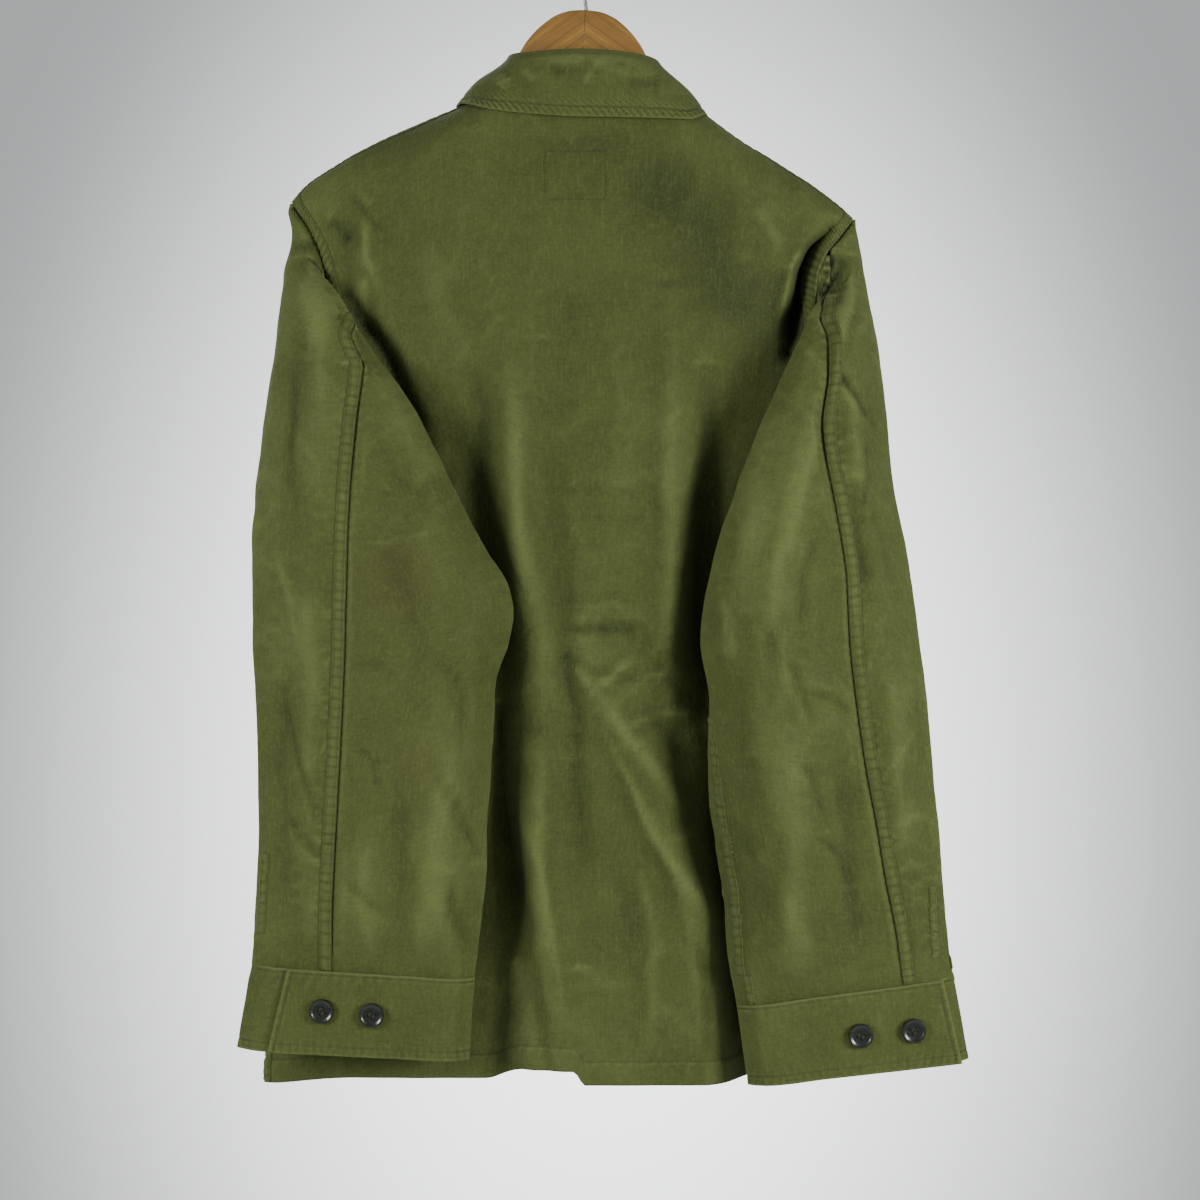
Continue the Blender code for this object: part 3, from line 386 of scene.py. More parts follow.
    def front_surface(self, side: int, u: float, v: float) -> Vector:
        """One front at u across, from its centre edge to its seam, and v down. The right one lies underneath."""
        column = u * (self.front_neck_columns + self.side_columns)
        if column > self.front_neck_columns:
            first = self.side_place((column - self.front_neck_columns) / self.side_columns, side)
        elif column > 1.0:
            first = self.neck_half_width * math.sin(0.5 * math.pi * (column - 1.0) / (self.front_neck_columns - 1.0))
        else:
            first = (column - 1.0) * self.front_overlap
        z = self.panel_z(side * first, v, back=False)
        width = self.reach(side, self.point_z(side)) + self.front_overlap
        share = (first + self.front_overlap) / width
        x = side * (share * (self.reach(side, z) + self.front_overlap) - self.front_overlap)
        y = self.depth(x, z, back=False)
        if side < 0:
            y += self.front_step * smooth((x + 3.0 * self.front_overlap) / (1.6 * self.front_overlap))
        return Vector((x, y, z))

    def back_columns(self, neck_steps: int, side_steps: int) -> list[float]:
        """The u of columns that stand evenly apart across the back at its top."""
        half = 0.5 * self.neck_columns + self.side_columns
        turns = [math.asin(2.0 * k / neck_steps - 1.0) / math.pi for k in range(neck_steps + 1)]
        middle = [0.5 + 0.5 * self.neck_columns * turn / half for turn in turns]
        outer = [middle[-1] + (1.0 - middle[-1]) * k / side_steps for k in range(1, side_steps + 1)]
        return [1.0 - u for u in reversed(outer)] + middle + outer

    def front_columns(self, edge_steps: int, neck_steps: int, side_steps: int) -> list[float]:
        """The u of columns that stand evenly apart across a front at its top."""
        last = self.front_neck_columns + self.side_columns
        turns = [math.asin(k / neck_steps) / (0.5 * math.pi) for k in range(neck_steps + 1)]
        columns = [k / edge_steps for k in range(edge_steps)]
        columns += [1.0 + (self.front_neck_columns - 1.0) * turn for turn in turns]
        columns += [self.front_neck_columns + self.side_columns * k / side_steps for k in range(1, side_steps + 1)]
        return [column / last for column in columns]


BODY = BodyForm()


@dataclass(frozen=True)
class SleeveForm:
    """One sleeve, in coordinates where X is how far out it reaches."""

    side: int
    rows: tuple[SleeveRow, ...]
    cuff: CuffSize
    seam_start: float
    underarm_inner_z: float
    clearance: float = 0.0040
    back_seam_place: int = 7
    last: int = 12
    plain_turns: tuple[float, ...] = (0.0, 0.02, 0.04, 0.06, 0.09, 0.12, 0.17, 0.23, 0.31, 0.40, 0.50, 0.74, 1.0)

    @functools.cached_property
    def curves(self) -> dict[str, Profile]:
        """The table's columns as curves, by name."""
        return {
            name: Profile([(row.z, getattr(row, name)) for row in self.rows]) for name in SleeveRow._fields[1:]
        }

    @property
    def point_z(self) -> float:
        """The height of the shoulder point."""
        return BODY.point_z(self.side)

    @property
    def underarm_z(self) -> float:
        """The height of the lowest point of the armhole."""
        return self.point_z - BODY.edge_back_depths[-1][0]

    @property
    def tilt(self) -> float:
        """How much the cuff's top rises for each metre across."""
        cuff = self.cuff
        return (cuff.top_outer_z - cuff.top_inner_z) / (cuff.fold_top - cuff.inner_top)

    @property
    def last_z(self) -> float:
        """The height of the sleeve's lower end, at the middle of the cuff."""
        cuff = self.cuff
        return cuff.top_inner_z + self.tilt * 0.5 * (cuff.fold_top - cuff.inner_top)

    @functools.cached_property
    def heights(self) -> list[float]:
        """The rows' heights: the body's own while they last, and the last one at the cuff."""
        found: list[float] = []
        row = 1
        while BODY.row_z(self.point_z, row) > self.last_z + 0.012:
            found.append(BODY.row_z(self.point_z, row))
            row += 1
        return found + [self.last_z]

    @property
    def first_under_row(self) -> int:
        """The first row that the under sleeve reaches."""
        return min(k for k, z in enumerate(self.heights) if z < self.seam_start - 0.003)

    def height(self, row: float) -> float:
        """The height at a row, counted from the first one."""
        below = min(int(row), len(self.heights) - 2)
        share = row - below
        return self.heights[below] * (1.0 - share) + self.heights[below + 1] * share

    def ends(self, z: float) -> tuple[Vector, Vector]:
        """Where a section starts and ends: on the two armhole edges, or on the underarm seam."""
        drop = self.point_z - z
        if z > self.underarm_z:
            reach = BODY.reach(self.side, z)
            arch = math.sqrt(1.0 - (1.0 - min(drop / BODY.shoulder_arch, 1.0)) ** 2)
            return (
                Vector((reach, BODY.curves["edge_back"](drop) * arch, 0.0)),
                Vector((reach, BODY.curves["edge_front"](drop) * arch, 0.0)),
            )
        below = self.underarm_z - z
        inward = smooth((below - 0.035) / (self.underarm_z - 0.035 - self.underarm_inner_z))
        start = BODY.reach(self.side, self.underarm_z) + 0.0080 * smooth(below / 0.03)
        x = start + (self.curves["inner"](z) + 0.034 - start) * inward
        y = self.curves["under_y"](z) * smooth(below / 0.032)
        return Vector((x, y, 0.0)), Vector((x, y, 0.0))

    @functools.lru_cache(maxsize=4096)
    def section(self, z: float) -> Path:
        """The section's path at this height."""
        start, end = self.ends(z)
        inner, outer, outer_y, under, loft, seam_x = (self.curves[name](z) for name in SleeveRow._fields[1:])
        top = under + loft
        turn_size = min(0.011, 0.30 * loft + 0.001)
        width = outer - inner
        closed = smooth((self.underarm_z - z) / 0.034)
        over = max(start.x - inner, 0.0)
        bulge = smooth(over / 0.010)
        rise = max(under - start.y, 0.004)
        lower = Vector((inner + min(1.2 * turn_size, 0.35 * over), under + 0.06 * loft, 0.0))
        turn = (
            Vector((start.x + 0.0020 * bulge, start.y + min(0.40 * rise, 0.0045), 0.0)),
            Vector((start.x + 0.0005 * bulge, start.y + 0.85 * rise, 0.0)),
            Vector((inner + 0.65 * over, under, 0.0)),
        )
        straight = [start.lerp(lower, share) for share in (0.25, 0.50, 0.75)]
        crest = inner + 1.3 * turn_size
        seam = max(seam_x, crest + 0.003)
        low_y = 0.7 * end.y + 0.3 * outer_y - 0.006
        hanging_low = Vector((end.x + 0.75 * (outer - end.x), low_y, 0.0))
        folded_low = Vector((max(outer - 0.07 * width, end.x + 0.58 * (outer - end.x)), under + 0.12 * loft, 0.0))
        folded = [
            start,
            *(a.lerp(b, closed) for a, b in zip(turn, straight)),
            lower,
            Vector((inner, under + 0.5 * loft, 0.0)),
            Vector((crest, top - 0.08 * loft, 0.0)),
            Vector((seam, top, 0.0)),
            Vector((seam + 0.45 * (outer - seam), top - 0.05 * loft, 0.0)),
            Vector((outer - 0.09 * width, 0.55 * top + 0.45 * outer_y, 0.0)),
            Vector((outer, outer_y, 0.0)),
            hanging_low.lerp(folded_low, closed),
            end,
        ]
        hanging = smooth((self.point_z - 0.032 - z) / 0.05)
        return Path([a.lerp(b, hanging) for a, b in zip(self.plain(start, folded[10], end), folded)])

    def plain(self, start: Vector, outer: Vector, end: Vector) -> list[Vector]:
        """A section near the shoulder point, where the cloth goes straight over from edge to edge."""
        points = []
        for share in self.plain_turns:
            angle = math.pi * share
            y = 0.5 * (start.y + end.y) + 0.5 * (start.y - end.y) * math.cos(angle)
            points.append(Vector((start.x + (outer.x - start.x) * abs(math.sin(angle)) ** 0.7, y, 0.0)))
        points[0], points[-1] = start.copy(), end.copy()
        return points

    def back_seam(self, z: float) -> float:
        """Where the back seam crosses a section: it leaves the armhole and runs round onto the outer layer."""
        left = 1.0 - min(max((self.seam_start - z) / 0.080, 0.0), 1.0)
        return self.back_seam_place * (1.0 - left * left)

    def point(self, place: float, z: float) -> Vector:
        """The point on the sleeve's outer side at a place along the section at this height, on its own side."""
        flat = self.section(round(z, 5))(place)
        y = flat.y
        if flat.x < BODY.reach(self.side, z) + 0.002:
            clear = BODY.depth(self.side * flat.x, z, back=True) + self.clearance
            hold = smooth(0.5 * place) * smooth(self.last - 0.4 - place)
            hold = max(hold, smooth((self.underarm_z - z) / 0.012))
            y += hold * smooth((self.point_z - 0.040 - z) / 0.010) * max(clear - y, 0.0)
        slant = self.tilt * smooth((-0.62 - z) / 0.17)
        centre = 0.5 * (self.cuff.fold_top + self.cuff.inner_top)
        drop = self.point_z - z
        crown = drop * smooth((0.006 - drop) / 0.003) * math.sin(math.pi * min(place / self.last, 0.999))
        return Vector((self.side * flat.x, y, z + slant * (flat.x - centre) + 0.85 * crown))

    def top_piece(self, u: float, v: float) -> Vector:
        """The outer half, from the back seam round the outer fold: u across and v down."""
        z = self.height((len(self.heights) - 1) * v)
        start = self.back_seam(z)
        return self.point(start + (self.last - start) * u, z)

    def under_piece(self, u: float, v: float) -> Vector:
        """The inner half, from the underarm seam round the inner fold to the back seam: u across and v down."""
        first = self.first_under_row
        z = self.height(first + (len(self.heights) - 1 - first) * v)
        return self.point(self.back_seam(z) * u, z)


@dataclass(frozen=True)
class CuffForm:
    """One cuff, a band wrapped round the wrist with its buttoned end on top."""

    side: int
    size: CuffSize
    last: int = 10

    @functools.lru_cache(maxsize=512)
    def path(self, v: float) -> Path:
        """The band's line at v down the cuff."""
        size = self.size
        inner = size.inner_top + (size.inner_bottom - size.inner_top) * v
        end = size.end_top + (size.end_bottom - size.end_top) * v
        fold = size.fold_top + (size.fold_bottom - size.fold_top) * v
        middle = 0.5 * (size.under_y + size.top_y)
        line = (
            (end, size.top_y + 0.0030),
            (end - 0.040, size.top_y + 0.0030),
            (0.5 * (inner + end) - 0.02, size.top_y + 0.0020),
            (inner + 0.010, size.top_y - 0.0010),
            (inner, middle),
            (inner + 0.010, size.under_y + 0.0010),
            (0.5 * (inner + fold), size.under_y),
            (fold - 0.010, size.under_y + 0.0010),
            (fold, middle - 0.001),
            (fold - 0.009, size.top_y - 0.0050),
            (end - 0.045, size.top_y - 0.0035),
        )
        return Path([Vector((x, y, 0.0)) for x, y in line])

    def height(self, x: float, v: float) -> float:
        """The height of a point at this reach, v down the cuff."""
        size = self.size
        across = (x - size.inner_top) / (size.fold_top - size.inner_top)
        top = size.top_inner_z + (size.top_outer_z - size.top_inner_z) * across
        bottom = size.bottom_inner_z + (size.bottom_outer_z - size.bottom_inner_z) * across
        return top + (bottom - top) * v

    def surface(self, u: float, v: float) -> Vector:
        """The cuff's outer side at u along the band and v down."""
        flat = self.path(round(v, 5))(self.last * u)
        return Vector((self.side * flat.x, flat.y, self.height(flat.x, v)))


@dataclass(frozen=True)
class CollarForm:
    """The collar: a stand that rises from the neck seam, and a fall that turns over it."""

    clearance: float = 0.0034
    front_clearance: float = 0.0060
    rows: tuple[CollarRow, ...] = (
        CollarRow(-180.0, -0.006, -0.047, -0.172, -0.050, -0.055, -0.243),
        CollarRow(-145.0, -0.036, -0.040, -0.150, -0.083, -0.048, -0.220),
        CollarRow(-115.0, -0.052, -0.020, -0.118, -0.100, -0.034, -0.184),
        CollarRow(-90.0, -0.0565, 0.000, -0.1010, -0.0965, 0.000, -0.1425),
        CollarRow(-50.0, -0.045, 0.024, -0.1010, -0.078, 0.034, -0.1525),
        CollarRow(0.0, 0.000, 0.038, -0.1000, 0.000, 0.041, -0.1520),
        CollarRow(50.0, 0.046, 0.024, -0.0985, 0.069, 0.034, -0.1450),
        CollarRow(90.0, 0.0595, 0.000, -0.0955, 0.1010, 0.000, -0.1335),
        CollarRow(115.0, 0.054, -0.020, -0.115, 0.104, -0.034, -0.178),
        CollarRow(145.0, 0.037, -0.040, -0.149, 0.086, -0.048, -0.216),
        CollarRow(180.0, 0.006, -0.047, -0.171, 0.052, -0.055, -0.241),
    )

    @functools.cached_property
    def curves(self) -> dict[str, Profile]:
        """The table's columns as curves, by name."""
        return {
            name: Profile([(row.angle, getattr(row, name)) for row in self.rows]) for name in CollarRow._fields[1:]
        }

    def seam(self, angle: float) -> Vector:
        """The neck seam at this angle from the middle of the back."""
        turn = math.radians(angle)
        back = math.cos(turn) >= 0.0
        x = BODY.neck_half_width * math.sin(turn)
        edge = Vector((x, BODY.top_y(x, back), BODY.top_z(x, back) + 0.0008))
        return edge - Vector((math.sin(turn), math.cos(turn), 0.0)) * 0.0022

    @functools.lru_cache(maxsize=2048)
    def path(self, angle: float) -> Path:
        """The collar's profile at an angle, from the seam up the stand and down over the fold."""
        fold_x, fold_y, fold_z, edge_x, edge_y, edge_z = (
            self.curves[name](angle) for name in CollarRow._fields[1:]
        )
        seam = self.seam(angle)
        fold = Vector((fold_x, fold_y, fold_z))
        edge = Vector((edge_x, edge_y, edge_z))
        outward = Vector((math.sin(math.radians(angle)), math.cos(math.radians(angle)), 0.0))
        down = Vector((0.0, 0.0, 1.0))
        return Path(
            [
                seam,
                seam.lerp(fold, 0.55) - outward * 0.001,
                fold - outward * 0.0022 - down * 0.0030,
                fold,
                fold + outward * 0.0035 - down * 0.0040,
                fold.lerp(edge, 0.60) + outward * 0.004,
                edge,
            ]
        )

    def surface(self, u: float, v: float) -> Vector:
        """The collar's outer side at u round the neck and v along its profile."""
        point = self.path(round(170.0 * (2.0 * u - 1.0), 4))(6.0 * v)
        return self.lifted(point) if 6.0 * v > 3.5 else point

    def lifted(self, point: Vector) -> Vector:
        """A point of the fall, moved out where it would lie in the body."""
        back = point.y >= 0.0
        clearance = self.clearance if point.y > -0.004 else self.front_clearance
        low = point.z - clearance
        ridge = BODY.shoulder_z(point.x)
        if low > ridge:
            return point
        if abs(point.y) < 0.004:
            return Vector((point.x, point.y, ridge + clearance))
        surface = BODY.depth(point.x, low, back)
        if back:
            return Vector((point.x, max(point.y, surface + clearance), point.z))
        return Vector((point.x, min(point.y, surface - clearance), point.z))


LEFT_SLEEVE = SleeveForm(
    side=1,
    rows=(
        SleeveRow(-0.214, 0.2270, 0.2312, 0.000, 0.012, 0.004, 0.2280),
        SleeveRow(-0.234, 0.2140, 0.2285, 0.000, 0.018, 0.006, 0.2160),
        SleeveRow(-0.264, 0.1985, 0.2345, 0.003, 0.024, 0.010, 0.2020),
        SleeveRow(-0.304, 0.1782, 0.2385, 0.008, 0.030, 0.018, 0.1780),
        SleeveRow(-0.340, 0.1551, 0.2420, 0.014, 0.032, 0.026, 0.1680),
        SleeveRow(-0.385, 0.1252, 0.2465, 0.022, 0.032, 0.034, 0.1720),
        SleeveRow(-0.442, 0.0964, 0.2510, 0.034, 0.031, 0.040, 0.1765),
        SleeveRow(-0.484, 0.0750, 0.2514, 0.042, 0.030, 0.044, 0.1780),
        SleeveRow(-0.512, 0.0575, 0.2515, 0.046, 0.030, 0.045, 0.1785),
        SleeveRow(-0.530, 0.0544, 0.2516, 0.047, 0.031, 0.045, 0.1790),
        SleeveRow(-0.555, 0.0572, 0.2516, 0.048, 0.032, 0.044, 0.1795),
        SleeveRow(-0.582, 0.0662, 0.2505, 0.049, 0.033, 0.043, 0.1805),
        SleeveRow(-0.623, 0.0686, 0.2495, 0.050, 0.034, 0.041, 0.1825),
        SleeveRow(-0.684, 0.0746, 0.2475, 0.051, 0.035, 0.038, 0.1860),
        SleeveRow(-0.727, 0.0768, 0.2470, 0.052, 0.036, 0.034, 0.1885),
        SleeveRow(-0.761, 0.0797, 0.2480, 0.053, 0.038, 0.030, 0.1900),
        SleeveRow(-0.803, 0.0838, 0.2520, 0.055, 0.042, 0.024, 0.1905),
    ),
    cuff=CuffSize(
        top_inner_z=-0.8075, top_outer_z=-0.7970, bottom_inner_z=-0.8690, bottom_outer_z=-0.8605,
        inner_top=0.0835, inner_bottom=0.0880, end_top=0.2235, end_bottom=0.2385,
        fold_top=0.2525, fold_bottom=0.2637, under_y=0.0420, top_y=0.0660,
    ),
    seam_start=-0.2694,
    underarm_inner_z=-0.66,
)
RIGHT_SLEEVE = SleeveForm(
    side=-1,
    rows=(
        SleeveRow(-0.226, 0.2080, 0.2112, 0.000, 0.012, 0.004, 0.2085),
        SleeveRow(-0.252, 0.1880, 0.2155, 0.000, 0.018, 0.006, 0.1900),
        SleeveRow(-0.290, 0.1766, 0.2198, 0.005, 0.026, 0.014, 0.1770),
        SleeveRow(-0.320, 0.1656, 0.2245, 0.010, 0.030, 0.020, 0.1853),
        SleeveRow(-0.350, 0.1509, 0.2286, 0.014, 0.031, 0.026, 0.1845),
        SleeveRow(-0.391, 0.1342, 0.2340, 0.022, 0.031, 0.034, 0.1790),
        SleeveRow(-0.444, 0.1154, 0.2400, 0.032, 0.030, 0.041, 0.1870),
        SleeveRow(-0.475, 0.1024, 0.2445, 0.040, 0.030, 0.045, 0.1920),
        SleeveRow(-0.502, 0.0954, 0.2480, 0.045, 0.031, 0.047, 0.1955),
        SleeveRow(-0.554, 0.0877, 0.2540, 0.049, 0.032, 0.048, 0.1980),
        SleeveRow(-0.598, 0.0950, 0.2585, 0.050, 0.033, 0.046, 0.2030),
        SleeveRow(-0.651, 0.0944, 0.2635, 0.051, 0.034, 0.042, 0.2110),
        SleeveRow(-0.692, 0.0966, 0.2670, 0.052, 0.035, 0.038, 0.2190),
        SleeveRow(-0.732, 0.1041, 0.2700, 0.053, 0.036, 0.034, 0.2255),
        SleeveRow(-0.776, 0.1080, 0.2745, 0.054, 0.040, 0.028, 0.2340),
        SleeveRow(-0.817, 0.1150, 0.2800, 0.056, 0.043, 0.025, 0.2390),
    ),
    cuff=CuffSize(
        top_inner_z=-0.8275, top_outer_z=-0.8055, bottom_inner_z=-0.8885, bottom_outer_z=-0.8695,
        inner_top=0.1160, inner_bottom=0.1240, end_top=0.2690, end_bottom=0.2830,
        fold_top=0.2795, fold_bottom=0.2910, under_y=0.0430, top_y=0.0680,
    ),
    seam_start=-0.2490,
    underarm_inner_z=-0.62,
)


# Creases and seams that the finer cloth adds -------------------------------------------------------------------------


class Edge(Enum):
    """An edge of a panel of cloth, in its own grid."""

    START = "first column"
    END = "last column"
    TOP = "first row"
    BOTTOM = "last row"


# The half width that the cloth's grid still carries smoothly: a finer crease is drawn this wide and lower
FINEST_CREASE = 0.0056


class Crease(NamedTuple):
    """A soft ridge in the cloth, or a trough where its height is negative, along points of X and Z."""

    line: tuple[tuple[float, float], ...]
    half_width: float
    height: float


def nearest_on_line(line: Sequence[tuple[float, float]], x: float, z: float) -> tuple[float, float]:
    """Finds how far a place is from a line, and how far along it.

    Args:
        line: The line's points, as X and Z.
        x: The place's X.
        z: The place's Z.

    Returns:
        The distance in metres, and the share of the line's length at its nearest point.
    """
    lengths = [math.dist(a, b) for a, b in zip(line, line[1:])]
    best, place, passed = 1e9, 0.0, 0.0
    for a, b, length in zip(line, line[1:], lengths):
        share = ((x - a[0]) * (b[0] - a[0]) + (z - a[1]) * (b[1] - a[1])) / max(length * length, 1e-12)
        share = min(max(share, 0.0), 1.0)
        distance = math.hypot(x - a[0] - share * (b[0] - a[0]), z - a[1] - share * (b[1] - a[1]))
        if distance < best:
            best, place = distance, (passed + share * length) / sum(lengths)
        passed += length
    return best, place


@dataclass(frozen=True, eq=False)
class Creases:
    """A set of creases on one side of the cloth."""

    lines: tuple[Crease, ...] = ()

    @functools.cached_property
    def boxes(self) -> list[tuple[float, float, float, float]]:
        """How far each crease can reach: its lowest and highest X and Z."""
        found = []
        for crease in self.lines:
            margin = 2.6 * max(crease.half_width, FINEST_CREASE)
            xs, zs = [p[0] for p in crease.line], [p[1] for p in crease.line]
            found.append((min(xs) - margin, max(xs) + margin, min(zs) - margin, max(zs) + margin))
        return found

    def lift(self, x: float, z: float) -> float:
        """How far the creases lift the cloth at X and Z.

        Args:
            x: The place's X.
            z: The place's Z.

        Returns:
            The lift in metres, with each crease's ends dying away.
        """
        total = 0.0
        for crease, (x0, x1, z0, z1) in zip(self.lines, self.boxes):
            if not (x0 < x < x1 and z0 < z < z1):
                continue
            distance, place = nearest_on_line(crease.line, x, z)
            ends = 0.30 + 0.70 * smooth(4.0 * min(place, 1.0 - place))
            width = max(crease.half_width, FINEST_CREASE)
            shape = 0.75 * bell(distance, width) + 0.25 * bell(distance, 0.5 * width)
            total += crease.height * math.sqrt(crease.half_width / width) * ends * shape
        return total


@dataclass(frozen=True)
class Pucker:
    """The ladder of small waves that a row of stitches draws into the cloth beside an edge."""

    edge: Edge
    centre: float = 0.0
    reach: float = 0.010
    height: float = 0.0005
    pitch: float = 0.009
    slant: float = 0.35
    begin: float = -1.0
    end: float = 9.0

    def lift(self, distance: float, along: float) -> float:
        """The wave at a distance in from the edge and along it, in metres."""
        if not self.begin < along < self.end or abs(distance - self.centre) > 2.5 * self.reach:
            return 0.0
        drift = 0.45 * noise.noise(Vector((along / 0.035, self.centre, 3.0)))
        wave = abs(math.sin(math.pi * ((along + self.slant * distance) / self.pitch + drift))) - 0.6
        strength = 0.75 + 0.5 * noise.noise(Vector((along / 0.05, 7.0, self.centre)))
        return self.height * wave * strength * bell(distance - self.centre, self.reach)


@dataclass(frozen=True)
class Groove:
    """The line that a row of stitches presses into the cloth beside an edge."""

    edge: Edge
    inset: float
    depth: float = 0.00045
    half_width: float = 0.0010
    step: float = 0.0

    def lift(self, distance: float) -> float:
        """The lift at a distance in from the edge: the pressed line, and the doubled cloth outside it."""
        doubled = self.step * smooth((self.inset + 0.0015 - distance) / 0.003)
        return doubled - self.depth * bell(distance - self.inset, self.half_width)


@dataclass(frozen=True, eq=False)
class Relief:
    """Everything that lifts a panel's cloth off its plain form, and how strongly its colour is rubbed pale and painted
    with shade and highlight.
    """

    facing_back: Creases = Creases()
    facing_front: Creases = Creases()
    crumpling: float = 1.0
    # Rubbing pales the crowns and paints shade into hollows; shading paints shade along troughs and highlight along
    # ridges, by how far they are lifted
    rubbing_and_hollow_shade: float = 8.0
    rubbed_edges: float = 0.0
    shading: float = 120.0
    ceiling: float = 1.0
    tuck_reach: float = 0.042
    seed: float = 0.0
    puckers: tuple[Pucker, ...] = ()
    grooves: tuple[Groove, ...] = ()
    sewn: tuple[Edge, ...] = tuple(Edge)
    fade: float = 0.014

    def crumple(self, point: Vector) -> float:
        """The small creases of washed cotton at a point."""
        place = point + Vector((self.seed, 0.0, 0.0))
        drawn = Vector((place.x, place.y, 0.75 * place.z))
        broad = 0.0034 * noise.noise(drawn / 0.085)
        ridged = 0.0020 * (0.35 - abs(noise.noise(drawn / 0.040)))
        fine = 0.0005 * (0.35 - abs(noise.noise(place / 0.016)))
        return self.crumpling * (broad + ridged + fine)

    def lift(self, point: Vector, normal: Vector, near: dict[Edge, tuple[float, float]]) -> float:
        """Adds up the lift at a point of the panel.

        Args:
            point: The point on the plain form.
            normal: The form's outward direction there.
            near: The distance from each edge and the length along it.

        Returns:
            The distance in metres to move out along the normal.
        """
        drift = noise.noise_vector(point / 0.045) * 0.0035
        x, z = point.x + drift.x, point.z + drift.z
        total = self.crumple(point)
        back, front = smooth((normal.y + 0.15) / 0.6), smooth((0.15 - normal.y) / 0.6)
        if back > 0.0:
            total += back * self.facing_back.lift(x, z)
        if front > 0.0:
            total += front * self.facing_front.lift(x, z)
        for edge in self.sewn:
            total *= smooth((near[edge][0] + 0.0005) / self.fade)
        total += sum(pucker.lift(*near[pucker.edge]) for pucker in self.puckers)
        return total + sum(groove.lift(near[groove.edge][0]) for groove in self.grooves)


def tucked(relief: Relief, point: Vector, low: float) -> Vector:
    """A point of cloth that goes into a cuff, sunk towards the relief's ceiling near its lower edge."""
    sink = max(point.y - relief.ceiling, 0.0) * smooth(1.0 - low / relief.tuck_reach)
    return Vector((point.x, point.y - sink, point.z))


def running_lengths(line: Sequence[Vector]) -> list[float]:
    """The length run along a line of points at each of them."""
    total = [0.0]
    for a, b in zip(line, line[1:]):
        total.append(total[-1] + (b - a).length)
    return total


def place_at(values: Sequence[float], target: float) -> float:
    """Where a rising list of values reaches a target, counted in its items."""
    i = min(max(bisect.bisect_right(values, target) - 1, 0), len(values) - 2)
    return min(max(i + (target - values[i]) / max(values[i + 1] - values[i], 1e-9), 0.0), len(values) - 1.0)


def spaced(*stretches: tuple[float, float, int]) -> list[float]:
    """Places along a grid's side, from stretches of (start, end, steps) that follow each other."""
    places = [stretches[0][0]]
    for start, end, steps in stretches:
        places += [start + (end - start) * k / steps for k in range(1, steps + 1)]
    return places


